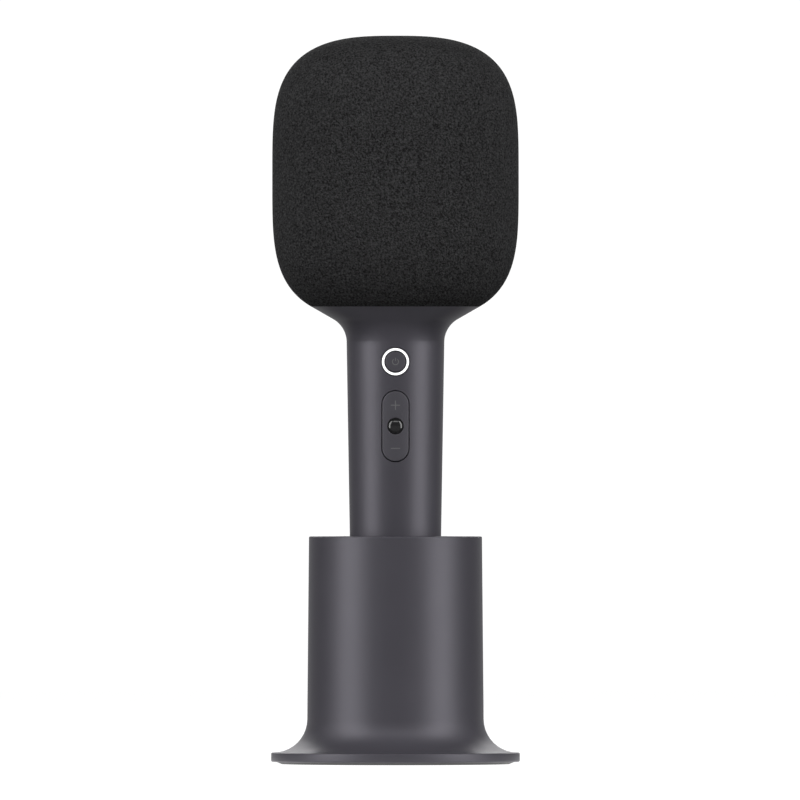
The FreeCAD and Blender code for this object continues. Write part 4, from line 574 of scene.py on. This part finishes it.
def cutter(name, half_length, radius, height):
    """A block with round ends that cuts an upright opening through the front of the handle."""
    arc = np.linspace(0, math.pi, 65)
    top = np.column_stack([radius * np.cos(arc), radius * np.sin(arc) + half_length])
    bottom = np.column_stack([-radius * np.cos(arc), -radius * np.sin(arc) - half_length])
    line = np.concatenate([top, bottom]) if half_length else np.concatenate([top, bottom[1:-1]])
    rings = [np.column_stack([line[:, 0], np.full(len(line), y), line[:, 1] + height])
             for y in (CUT_FRONT, CUT_BACK)]
    ends = [[(0, y, height)] for y in (CUT_FRONT, CUT_BACK)]
    return skin(name, [ends[0], rings[0], rings[1], ends[1]])


for name, half_length, radius, height in (
    ("power_cutter", 0.0, POWER_HOLE, POWER_AT),
    ("rocker_cutter", ROCKER_HALF, ROCKER_SLOT, ROCKER_AT),
):
    tool = cutter(name, half_length, radius, height)
    cut = handle.modifiers.new(name, "BOOLEAN")
    cut.object, cut.solver = tool, "EXACT"
    settled(handle)
    bpy.data.objects.remove(tool)
smoothed(handle.data)
handle.data.materials.clear()
handle.data.materials.append(satin_black)
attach(handle, "microphone")
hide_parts("handle_shell")

# ---- Bottom cap ----------------------------------------------------------------------------
# The moulded end cap of the handle, with the slot over the charging socket. Two screws hold it
# to the battery cradle inside.

dress(satin_black, "bottom_cap")
CAP_SCREW = (0.0018, 0.0012, 0.0009, 0.0110)
low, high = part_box("cap_screws")
reach, back = high.x - CAP_SCREW[0], (low.y + high.y) / 2
screws("cap_screws", "microphone", CAP_SCREW,
       [(x * reach, back, low.z + CAP_SCREW[1]) for x in (-1, 1)], HEAD_DOWN, black_screw)

# ---- Foam windscreen -----------------------------------------------------------------------
# A thick cover of open-cell acoustic foam, moulded to the rounded oval head and pulled over
# its cage. It is open underneath, where it closes round the head frame's collar.

FOAM, FOAM_FLOOR, COLLAR_GAP = 0.0040, 0.1676, 0.0002
foam_count, outer_rings, inner_rings = 400, 200, 50


def even_angles(count):
    """Angles that space an oval's points evenly along it."""
    fine = np.linspace(0, math.tau, 20001)
    c, s = np.cos(fine), np.sin(fine)
    reach = (np.abs(c) ** CORNER_POWER + np.abs(s) ** CORNER_POWER) ** (-1 / CORNER_POWER)
    x, y = HEAD_HALF_X * reach * c, HEAD_HALF_Y * reach * s
    run = np.concatenate([[0], np.cumsum(np.hypot(np.diff(x), np.diff(y)))])
    return np.interp(np.arange(count) / count * run[-1], run, fine)


oval_angles = even_angles(foam_count)


def head_ring(height, inset, halves=None):
    c, s = np.cos(oval_angles), np.sin(oval_angles)
    reach = (np.abs(c) ** CORNER_POWER + np.abs(s) ** CORNER_POWER) ** (-1 / CORNER_POWER)
    share = head_share(height, inset)
    half_x, half_y = halves or ((HEAD_HALF_X - inset) * share, (HEAD_HALF_Y - inset) * share)
    return np.column_stack([half_x * reach * c, half_y * reach * s, np.full(foam_count, height)])


def head_heights(bottom, inset, count):
    """Heights that space the head's rings evenly along its side, from the bottom to the crown."""
    half_x, half_z = HEAD_HALF_X - inset, HEAD_HALF_Z - inset
    rise = (bottom - HEAD_MIDDLE) / half_z
    turn = np.linspace(math.asin(rise), math.pi / 2, 20001)
    z = np.sin(turn)
    x = half_x * np.maximum(0, 1 - np.abs(z) ** CROWN_POWER) ** (1 / CORNER_POWER)
    run = np.concatenate([[0], np.cumsum(np.hypot(np.diff(x), half_z * np.diff(z)))])
    return HEAD_MIDDLE + half_z * np.interp(np.linspace(0, run[-1], count), run, z)


outer = [head_ring(z, 0) for z in head_heights(SEAM, 0, outer_rings)[:-1]]
crown = [(0, 0, HEAD_MIDDLE + HEAD_HALF_Z)]
inner = [head_ring(z, FOAM) for z in head_heights(FOAM_FLOOR, FOAM, inner_rings)[:-1]]
inner_crown = [(0, 0, HEAD_MIDDLE + HEAD_HALF_Z - FOAM)]
collar_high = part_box("head_frame")[1]
opening = [min(collar_high.x, seam_x) + COLLAR_GAP, collar_high.y + COLLAR_GAP]
mouth_rings = [head_ring(z, 0, opening) for z in (FOAM_FLOOR, SEAM)]
foam = skin("foam_windscreen",
            [inner_crown, *inner[::-1], *mouth_rings, *outer, crown], sharp=60)

foam_finish = bpy.data.materials.new("acoustic_foam")
foam_finish.use_nodes = True
tree = foam_finish.node_tree
body = tree.nodes["Principled BSDF"]
body.inputs["Roughness"].default_value = 0.95
body.inputs["Specular IOR Level"].default_value = 0.05
place = tree.nodes.new("ShaderNodeTexCoord")
cells = tree.nodes.new("ShaderNodeTexVoronoi")
cells.inputs["Scale"].default_value = 1350
cells.feature = "F1"
fuzz = tree.nodes.new("ShaderNodeTexNoise")
fuzz.inputs["Scale"].default_value = 1500
fuzz.inputs["Detail"].default_value = 3
fuzz.inputs["Roughness"].default_value = 0.7
height = tree.nodes.new("ShaderNodeMath")
height.operation = "ADD"
dark = tree.nodes.new("ShaderNodeMapRange")
dark.inputs["From Min"].default_value = 0.35
dark.inputs["From Max"].default_value = 0.68
tint = tree.nodes.new("ShaderNodeMix")
tint.data_type = "RGBA"
tint.inputs[6].default_value = (0.004, 0.004, 0.0042, 1)
tint.inputs[7].default_value = (0.042, 0.042, 0.043, 1)
bump = tree.nodes.new("ShaderNodeBump")
bump.inputs["Strength"].default_value = 1
bump.inputs["Distance"].default_value = 0.00030
link = tree.links.new
link(place.outputs["Object"], cells.inputs["Vector"])
link(place.outputs["Object"], fuzz.inputs["Vector"])
link(cells.outputs["Distance"], height.inputs[0])
link(fuzz.outputs["Fac"], height.inputs[1])
link(fuzz.outputs["Fac"], dark.inputs["Value"])
link(dark.outputs["Result"], tint.inputs["Factor"])
link(tint.outputs[2], body.inputs["Base Color"])
link(height.outputs[0], bump.inputs["Height"])
link(bump.outputs["Normal"], body.inputs["Normal"])
foam.data.materials.append(foam_finish)
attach(foam, "microphone")
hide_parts("windscreen")

# ---- Cage and head frame -------------------------------------------------------------------
# Under the foam a stiff cage in two halves, coated black, stands on the moulded frame that two
# screws pull down onto the neck.

powder = surface("powder_coat", (0.022, 0.022, 0.024), 0.5, grain=0.0007, depth=0.05)
dress(powder, "grille_front", "grille_rear")
dress(inner_black, "head_frame")
zinc = surface("zinc_plate", (0.55, 0.55, 0.56), 0.3, grain=0.0003, metal=1.0, stretch=(1, 6, 6))
FRAME_SCREW = (0.0021, 0.0018, 0.0010, 0.0090)
low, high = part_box("frame_screws")
reach = high.x - FRAME_SCREW[0]
screws("frame_screws", "microphone", FRAME_SCREW,
       [(x * reach, 0, high.z - FRAME_SCREW[1]) for x in (-1, 1)], HEAD_UP, zinc)

# ---- Light ring ----------------------------------------------------------------------------
# A clear polycarbonate ring, frosted and lit white from behind, pushed into the handle from
# inside round the power button. Its face follows the handle's curve.

RING_OUT, RING_IN, RING_BORE, RING_EDGE = 0.00485, 0.0040, 0.00445, 0.00008
RING_STEP, RING_REAR = -0.0149, -0.0118


def face_y(x, z):
    """How far forward the handle's skin is."""
    return -np.sqrt(handle_radius(z) ** 2 - x**2)


def face_ring(radius, height, drop, count=160, half_length=0.0):
    """A ring of points on the handle's front, sunk by a drop; half_length makes it a slot's."""
    angle = np.arange(count) * math.tau / count + math.pi / count
    x = radius * np.cos(angle)
    z = height + radius * np.sin(angle) + half_length * np.sign(np.sin(angle))
    return np.column_stack([x, face_y(x, z) + drop, z])


def depth_ring(radius, height, y, count=160, half_length=0.0):
    ring = face_ring(radius, height, 0, count, half_length)
    ring[:, 1] = y
    return ring


def eased_edge(outer_radius, height, edge, inward, count=160, half_length=0.0, steps=6):
    """Rings over a small quarter-round at an edge, from the wall up onto the face."""
    rings = []
    for s in range(steps + 1):
        turn = math.pi / 2 * s / steps
        inset = edge * (1 - math.cos(turn))
        drop = edge * (1 - math.sin(turn))
        rings.append(face_ring(outer_radius - inward * inset, height, drop, count, half_length))
    return rings


ring = skin("light_ring_lens", [
    depth_ring(RING_OUT, POWER_AT, RING_REAR),
    *eased_edge(RING_OUT, POWER_AT, RING_EDGE, 1),
    *eased_edge(RING_IN, POWER_AT, RING_EDGE, -1)[::-1],
    depth_ring(RING_IN, POWER_AT, RING_STEP),
    depth_ring(RING_BORE, POWER_AT, RING_STEP),
    depth_ring(RING_BORE, POWER_AT, RING_REAR),
], looped=True)
lit = surface("lit_lens", (0.45, 0.45, 0.46), 0.4)

# Only its front face is frosted and glows; the walls down into the gap stay dark.
tree = lit.node_tree
body = tree.nodes["Principled BSDF"]
body.inputs["Emission Color"].default_value = (1, 1, 1, 1)
facing = tree.nodes.new("ShaderNodeSeparateXYZ")
frosted = tree.nodes.new("ShaderNodeMapRange")
frosted.inputs["From Min"].default_value = -0.72
frosted.inputs["From Max"].default_value = -0.90
frosted.inputs["To Max"].default_value = 0.95
tree.links.new(tree.nodes["Texture Coordinate"].outputs["Normal"], facing.inputs["Vector"])
tree.links.new(facing.outputs["Y"], frosted.inputs["Value"])
tree.links.new(frosted.outputs["Result"], body.inputs["Emission Strength"])
ring.data.materials.append(lit)
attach(ring, "microphone")
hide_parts("light_ring")

# ---- Power button --------------------------------------------------------------------------
# A round matt cap inside the ring, held by a flange behind it, with a fine printed on-off sign.

CAP, CAP_FLANGE, CAP_EDGE = 0.00362, 0.0042, 0.00025
CAP_FLANGE_FRONT, CAP_FLANGE_BACK = -0.01498, -0.0142
KEY_STEM, KEY_TIP = 0.0010, -0.0123
button_black = surface("button_black", (0.040, 0.0385, 0.045), 0.5, glint=VIOLET_GLINT)
cap_rings = [face_ring(CAP * t, POWER_AT, 0, 96) for t in (0.8, 0.55, 0.3, 0.12)]
centre = [(0, -handle_radius(POWER_AT), POWER_AT)]
cap = skin("power_cap", [
    [(0, KEY_TIP, POWER_AT)],
    depth_ring(KEY_STEM, POWER_AT, KEY_TIP, 96),
    depth_ring(KEY_STEM, POWER_AT, CAP_FLANGE_BACK, 96),
    depth_ring(CAP_FLANGE, POWER_AT, CAP_FLANGE_BACK, 96),
    depth_ring(CAP_FLANGE, POWER_AT, CAP_FLANGE_FRONT, 96),
    depth_ring(CAP, POWER_AT, CAP_FLANGE_FRONT, 96),
    *eased_edge(CAP, POWER_AT, CAP_EDGE, 1, 96),
    *cap_rings,
    centre,
])
cap.data.materials.append(button_black)
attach(cap, "power_key")
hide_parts("power_button")

print_grey = surface("printed_grey", (0.105, 0.105, 0.108), 0.55)


def printed(name, outlines, thick=0.00002):
    """Marks printed on the handle's curve, each given as a left and a right side of (x, z)."""
    points, faces = [], []
    for left, right in outlines:
        start = len(points)
        count = len(left)
        for lift in (thick, -0.5 * thick):
            for side in (left, right):
                for x, z in side:
                    points.append((x, float(face_y(x, z)) - lift, z))
        top_l, top_r, low_l, low_r = (start + k * count for k in range(4))
        for i in range(count - 1):
            faces.append((top_l + i, top_l + i + 1, top_r + i + 1, top_r + i))
            faces.append((low_l + i, low_r + i, low_r + i + 1, low_l + i + 1))
            faces.append((top_l + i, low_l + i, low_l + i + 1, top_l + i + 1))
            faces.append((top_r + i, top_r + i + 1, low_r + i + 1, low_r + i))
        for i, flip in ((0, False), (count - 1, True)):
            face = (top_l + i, top_r + i, low_r + i, low_l + i)
            faces.append(face[::-1] if flip else face)
    mark = loose(name, points, faces=faces)
    facing_out(mark.data)
    mark.data.materials.append(print_grey)
    return mark


def stroke(x0, z0, x1, z1, width, count=8):
    """A straight stroke as its two long sides."""
    run = Vector((x1 - x0, z1 - z0)).normalized() * width / 2
    t = np.linspace(0, 1, count)
    x, z = x0 + (x1 - x0) * t, z0 + (z1 - z0) * t
    return (list(zip(x - run.y, z + run.x)), list(zip(x + run.y, z - run.x)))


SIGN_OUT, SIGN_IN, SIGN_GAP, BAR_LOW, BAR_HIGH = 0.00120, 0.00096, 38, 0.0002, 0.0014
arc = np.radians(np.linspace(90 + SIGN_GAP, 450 - SIGN_GAP, 40))
sign = [
    tuple([(radius * math.cos(a), POWER_AT + radius * math.sin(a)) for a in arc]
          for radius in (SIGN_OUT, SIGN_IN)),
    stroke(0, POWER_AT + BAR_LOW, 0, POWER_AT + BAR_HIGH, SIGN_OUT - SIGN_IN),
]
mark = printed("power_mark", sign)
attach(mark, "power_key")

# ---- Volume rocker -------------------------------------------------------------------------
# A long matt plate flush with the handle, pivoted in its middle on two pins, with a plus
# printed at its upper end and a minus at its lower end.

ROCKER, ROCKER_HOLE, ROCKER_EDGE, HOLE_EDGE = 0.0047, 0.00295, 0.00025, 0.00020
ROCKER_THICK, PIVOT_UNDER = 0.00175, 0.00505
ROCKER_BACK = -(handle_radius(ROCKER_AT) - ROCKER_THICK)
rocker_count = 240
outer_edge = eased_edge(ROCKER, ROCKER_AT, ROCKER_EDGE, 1, rocker_count, ROCKER_HALF)
hole_edge = eased_edge(ROCKER_HOLE, ROCKER_AT, HOLE_EDGE, -1, rocker_count)
start, end = outer_edge[-1], hole_edge[-1]
between = []
for t in np.linspace(0, 1, 26)[1:-1]:
    step = start * (1 - t) + end * t
    step[:, 1] = face_y(step[:, 0], step[:, 2])
    between.append(step)
plate = skin("rocker_plate", [
    depth_ring(ROCKER, ROCKER_AT, ROCKER_BACK, rocker_count, ROCKER_HALF),
    *outer_edge,
    *between,
    *hole_edge[::-1],
    depth_ring(ROCKER_HOLE, ROCKER_AT, ROCKER_BACK, rocker_count),
], looped=True)
plate.data.materials.append(button_black)
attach(plate, "volume_key")
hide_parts("volume_rocker")

# Behind it stand two ears with the pivot pins, and a post over each volume switch.
PIVOT_DEEP = handle_radius(ROCKER_AT) - PIVOT_UNDER
legs = bmesh.new()


def bar(low, high):
    """A plain moulded bar between two corners."""
    made = bmesh.ops.create_cube(legs, size=1)["verts"]
    for vert in made:
        vert.co = [low[k] + (vert.co[k] + 0.5) * (high[k] - low[k]) for k in range(3)]


def peg(start, end, radius, tip=None):
    """A round peg between two points, tapered where its tip has a radius of its own."""
    run = Vector(end) - Vector(start)
    turn = run.to_track_quat("Z", "Y").to_matrix().to_4x4()
    turn.translation = (Vector(start) + Vector(end)) / 2
    bmesh.ops.create_cone(legs, cap_ends=True, segments=24, radius1=radius, radius2=tip or radius,
                          depth=run.length, matrix=turn)


EAR_IN, EAR_OUT, EAR_HALF, PIN_END, PIN = 0.0036, 0.0045, 0.0014, 0.0062, 0.0007
POST_OFFSET, POST_TIP, POST, POST_END = 0.0077, -0.0126, 0.0010, 0.0007
for side in (-1, 1):
    near, far = sorted((side * EAR_IN, side * EAR_OUT))
    bar((near, ROCKER_BACK, ROCKER_AT - EAR_HALF), (far, PIN - PIVOT_DEEP, ROCKER_AT + EAR_HALF))
    pin_ends = [(side * x, -PIVOT_DEEP, ROCKER_AT) for x in (EAR_IN, PIN_END)]
    peg(*pin_ends, PIN)
    post_at = ROCKER_AT + side * POST_OFFSET
    peg((0, ROCKER_BACK, post_at), (0, POST_TIP, post_at), POST, POST_END)
legs_mesh = bpy.data.meshes.new("rocker_legs")
legs.to_mesh(legs_mesh)
legs.free()
rocker_legs = bpy.data.objects.new("rocker_legs", legs_mesh)
bpy.context.scene.collection.objects.link(rocker_legs)
facing_out(legs_mesh)
legs_mesh.materials.append(button_black)
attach(rocker_legs, "volume_key")

PLUS_AT, MINUS_AT, MARK_HALF, MARK_WIDE = 0.1281, 0.1127, 0.00165, 0.00030
marks = printed("volume_marks", [
    stroke(-MARK_HALF, PLUS_AT, MARK_HALF, PLUS_AT, MARK_WIDE),
    stroke(0, PLUS_AT + MARK_WIDE / 2, 0, PLUS_AT + MARK_HALF, MARK_WIDE),
    stroke(0, PLUS_AT - MARK_HALF, 0, PLUS_AT - MARK_WIDE / 2, MARK_WIDE),
    stroke(-MARK_HALF, MINUS_AT, MARK_HALF, MINUS_AT, MARK_WIDE),
])
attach(marks, "volume_key")

# ---- Effect button -------------------------------------------------------------------------
# A small polished dome in the rocker's hole, pushed through from behind and held by a flange.

DOME, DOME_PROUD, DOME_SIDE = 0.0026, 0.00035, 0.0011
DOME_FLANGE, DOME_FLANGE_THICK, DOME_SHELF = 0.00325, 0.0008, 0.0022
peak = -(handle_radius(ROCKER_AT) + DOME_PROUD)
dome_rings = []
for t in np.linspace(0, 1, 26)[1:]:
    radius = DOME * math.sin(math.pi / 2 * t)
    fall = DOME_SIDE * (1 - math.cos(math.pi / 2 * t))
    dome_rings.append(depth_ring(radius, ROCKER_AT, peak + fall, 128))
shelf = -(handle_radius(ROCKER_AT) - DOME_SHELF)
dome = skin("effect_dome", [
    [(0, peak, ROCKER_AT)],
    *dome_rings,
    depth_ring(DOME, ROCKER_AT, shelf, 128),
    depth_ring(DOME_FLANGE, ROCKER_AT, shelf, 128),
    depth_ring(DOME_FLANGE, ROCKER_AT, shelf + DOME_FLANGE_THICK, 128),
    depth_ring(KEY_STEM, ROCKER_AT, shelf + DOME_FLANGE_THICK, 128),
    depth_ring(KEY_STEM, ROCKER_AT, KEY_TIP, 128),
    [(0, KEY_TIP, ROCKER_AT)],
])
polished = surface("polished_black", (0.012, 0.012, 0.013), 0.06, depth=0.004)
dome.data.materials.append(polished)
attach(dome, "effect_key")
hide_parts("effect_button")

# ---- Switches and board --------------------------------------------------------------------
# The long green board behind the buttons carries four push switches in folded steel covers,
# four small lamps under the ring and a shielded radio module. A grey frame holds the rocker.

inner_grey = surface("inner_grey", (0.22, 0.22, 0.23), 0.5, grain=0.0002, depth=0.08)
dress(inner_grey, "button_carrier")
folded_steel = surface("folded_steel", (0.60, 0.60, 0.61), 0.28, grain=0.00025, metal=1.0,
                       stretch=(1, 1, 9))
dress(folded_steel, "power_switch", "volume_up_switch", "effect_switch", "volume_down_switch",
      "wireless_module")
plunger_black = surface("plunger_black", (0.020, 0.020, 0.020), 0.45)
dress(plunger_black, "power_plunger", "effect_plunger", "volume_up_plunger",
      "volume_down_plunger")
lamp_white = surface("lamp_white", (0.90, 0.90, 0.85), 0.35)
body = lamp_white.node_tree.nodes["Principled BSDF"]
body.inputs["Emission Color"].default_value = (1, 1, 1, 1)
body.inputs["Emission Strength"].default_value = 1.0
dress(lamp_white, "status_leds")

# Under the green varnish the copper tracks run straight, and step from row to row.
varnish = surface("green_varnish", (0.02, 0.12, 0.05), 0.3, grain=0.0004, depth=0.02)
tree = varnish.node_tree
laid = tree.nodes.new("ShaderNodeMapping")
laid.inputs["Rotation"].default_value = (-math.pi / 2, 0, math.pi / 2)
laid.inputs["Scale"].default_value = (1000, 1000, 1000)
tracks = tree.nodes.new("ShaderNodeTexBrick")
tracks.inputs["Scale"].default_value = 1
tracks.inputs["Brick Width"].default_value = 7.0
tracks.inputs["Row Height"].default_value = 0.9
tracks.inputs["Mortar Size"].default_value = 0.16
tracks.inputs["Color1"].default_value = (0.012, 0.10, 0.035, 1)
tracks.inputs["Color2"].default_value = (0.016, 0.12, 0.045, 1)
tracks.inputs["Mortar"].default_value = (0.035, 0.19, 0.08, 1)
link = tree.links.new
link(tree.nodes["Texture Coordinate"].outputs["Object"], laid.inputs["Vector"])
link(laid.outputs["Vector"], tracks.inputs["Vector"])
link(tracks.outputs["Color"], tree.nodes["Principled BSDF"].inputs["Base Color"])
dress(varnish, "main_board")
BOARD_SCREW = (0.0014, 0.0008, 0.0008, 0.0034)
low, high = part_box("board_screws")
reach, middle = high.x - BOARD_SCREW[0], (low.z + high.z) / 2
screws("board_screws", "microphone", BOARD_SCREW,
       [(x * reach, low.y + BOARD_SCREW[1], middle) for x in (-1, 1)], HEAD_FRONT, zinc)

# ---- Charging socket and battery -----------------------------------------------------------
# The nickel-plated socket sits behind the slot in the cap. The blue-sleeved cell lies in a grey
# cradle above it, between two nickel strips.

nickel = surface("nickel_plate", (0.62, 0.61, 0.58), 0.25, grain=0.0003, metal=1.0,
                 stretch=(6, 6, 1))
dress(nickel, "usb_socket", "battery_tabs")
sleeve = surface("blue_sleeve", (0.05, 0.18, 0.42), 0.25, grain=0.002, depth=0.02)
dress(sleeve, "battery_cell")
dress(inner_grey, "battery_cradle")

# ---- Speaker box ---------------------------------------------------------------------------
# A round moulded box closed in front by a baffle with four screws and a foam gasket behind it.

dress(inner_black, "speaker_box", "speaker_baffle")
gasket = surface("cell_gasket", (0.050, 0.050, 0.050), 0.9, grain=0.0006, depth=0.3, level=0.2)
dress(gasket, "baffle_gasket", "driver_gasket")
BAFFLE_SCREW = (0.0017, 0.0009, 0.0009, 0.0090)
low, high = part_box("baffle_screws")
reach, middle = high.x - BAFFLE_SCREW[0], (low.z + high.z) / 2
screws("baffle_screws", "microphone", BAFFLE_SCREW,
       [(x * reach, low.y + BAFFLE_SCREW[1], middle + z * reach) for x in (-1, 1) for z in (-1, 1)],
       HEAD_FRONT, black_screw)

# ---- Speaker and passive radiator ----------------------------------------------------------
# A powder-coated basket with a ferrite motor between zinc-plated plates. A pressed paper cone
# hangs in it by a rubber roll in front and a yellow cloth disc behind.

dress(powder, "speaker_frame", "passive_radiator")
dress(zinc, "top_plate", "speaker_yoke")
ferrite = surface("ferrite", (0.060, 0.060, 0.065), 0.75, grain=0.0005, depth=0.2, patches=0.2)
dress(ferrite, "speaker_magnet")
pulp = surface("paper_pulp", (0.040, 0.040, 0.042), 0.9, grain=0.0005, depth=0.25, level=0.2,
               patches=0.15, stretch=(1, 1, 3))
dress(pulp, "speaker_cone", "dust_cap")


def banded(name, colours, rough, pitch, directions, metal=0.0):
    """Threads or turns of wire: bands with a ridge each, along the given axes, painted darker in
    the troughs as painted shade.
    """
    finish = surface(name, colours[0], rough, metal=metal)
    tree = finish.node_tree
    body = tree.nodes["Principled BSDF"]
    ridge = None
    for axis in directions:
        wave = tree.nodes.new("ShaderNodeTexWave")
        wave.bands_direction = axis
        wave.inputs["Scale"].default_value = math.tau / (20 * pitch)
        tree.links.new(tree.nodes["Texture Coordinate"].outputs["Object"], wave.inputs["Vector"])
        if ridge is None:
            ridge = wave.outputs["Fac"]
            continue
        both = tree.nodes.new("ShaderNodeMath")
        both.operation = "MAXIMUM"
        tree.links.new(ridge, both.inputs[0])
        tree.links.new(wave.outputs["Fac"], both.inputs[1])
        ridge = both.outputs[0]
    # The troughs between the ridges take the darker colour: painted shade between the turns or
    # folds.
    shade = tree.nodes.new("ShaderNodeMix")
    shade.data_type = "RGBA"
    shade.inputs[6].default_value = (*colours[1], 1)
    shade.inputs[7].default_value = (*colours[0], 1)
    raised = tree.nodes.new("ShaderNodeBump")
    raised.inputs["Strength"].default_value = 0.8
    raised.inputs["Distance"].default_value = 0.2 * pitch
    tree.links.new(ridge, shade.inputs["Factor"])
    tree.links.new(ridge, raised.inputs["Height"])
    tree.links.new(shade.outputs[2], body.inputs["Base Color"])
    tree.links.new(raised.outputs["Normal"], body.inputs["Normal"])
    return finish


spider_cloth = banded("spider_cloth", ((0.55, 0.38, 0.14), (0.30, 0.20, 0.07)), 0.8, 0.0005, "XZ")
dress(banded("copper_winding", ((0.72, 0.42, 0.22), (0.36, 0.18, 0.08)), 0.3, 0.0002, "Y", 1.0),
      "voice_coil")

# ---- Rolls and spider ----------------------------------------------------------------------
# The moulded butyl rolls and the pressed cloth disc are glued to the basket or box at their
# outer edge and to what moves at their inner edge. Each ring is cut into closed sectors.


def flexing_ring(node, finish, sectors):
    """Closed sectors of a ring, cut from a node's mesh, with their cut faces filled."""
    low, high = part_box(node)
    centre = (low + high) / 2
    whole = bmesh.new()
    whole.from_mesh(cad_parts[node].data)
    bmesh.ops.remove_doubles(whole, verts=whole.verts, dist=1e-6)
    half = math.pi / sectors
    for k in range(sectors):
        middle = half + k * 2 * half
        slice_mesh = whole.copy()
        for side in (-1, 1):
            edge = middle + side * half
            away = Vector((-math.sin(edge), 0, math.cos(edge))) * side
            cut = bmesh.ops.bisect_plane(
                slice_mesh, geom=slice_mesh.verts[:] + slice_mesh.edges[:] + slice_mesh.faces[:],
                plane_co=centre, plane_no=away, dist=1e-7, clear_outer=True)["geom_cut"]
            rim = [part for part in cut if isinstance(part, bmesh.types.BMEdge)]
            bmesh.ops.triangle_fill(slice_mesh, use_beauty=True, edges=rim)
        mesh = bpy.data.meshes.new(f"{node}_{k}")
        slice_mesh.to_mesh(mesh)
        slice_mesh.free()
        facing_out(mesh)
        smoothed(mesh)
        mesh.materials.append(finish)
        sector = bpy.data.objects.new(f"{node}_{k}", mesh)
        bpy.context.scene.collection.objects.link(sector)
        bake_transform(sector)
        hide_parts(node)
    whole.free()


butyl = surface("butyl", (0.015, 0.015, 0.016), 0.4, grain=0.0004, depth=0.05)
flexing_ring("cone_surround", butyl, 16)
flexing_ring("radiator_surround", butyl, 16)
flexing_ring("spider", spider_cloth, 8)

# ---- Voice capsule and leads ---------------------------------------------------------------
# A spun metal capsule in a rubber boot on a grey pedestal under the crown, with insulated leads
# from the board to it and to the speaker.

spun = surface("spun_aluminium", (0.70, 0.70, 0.70), 0.3, grain=0.0003, metal=1.0,
               stretch=(1, 1, 8))
dress(spun, "voice_capsule")
dress(rubber, "capsule_boot")
dress(inner_grey, "capsule_bracket")
dress(surface("red_lead", (0.35, 0.02, 0.02), 0.4, grain=0.0005), "speaker_leads")
dress(surface("grey_lead", (0.12, 0.12, 0.12), 0.45, grain=0.0005), "capsule_lead")
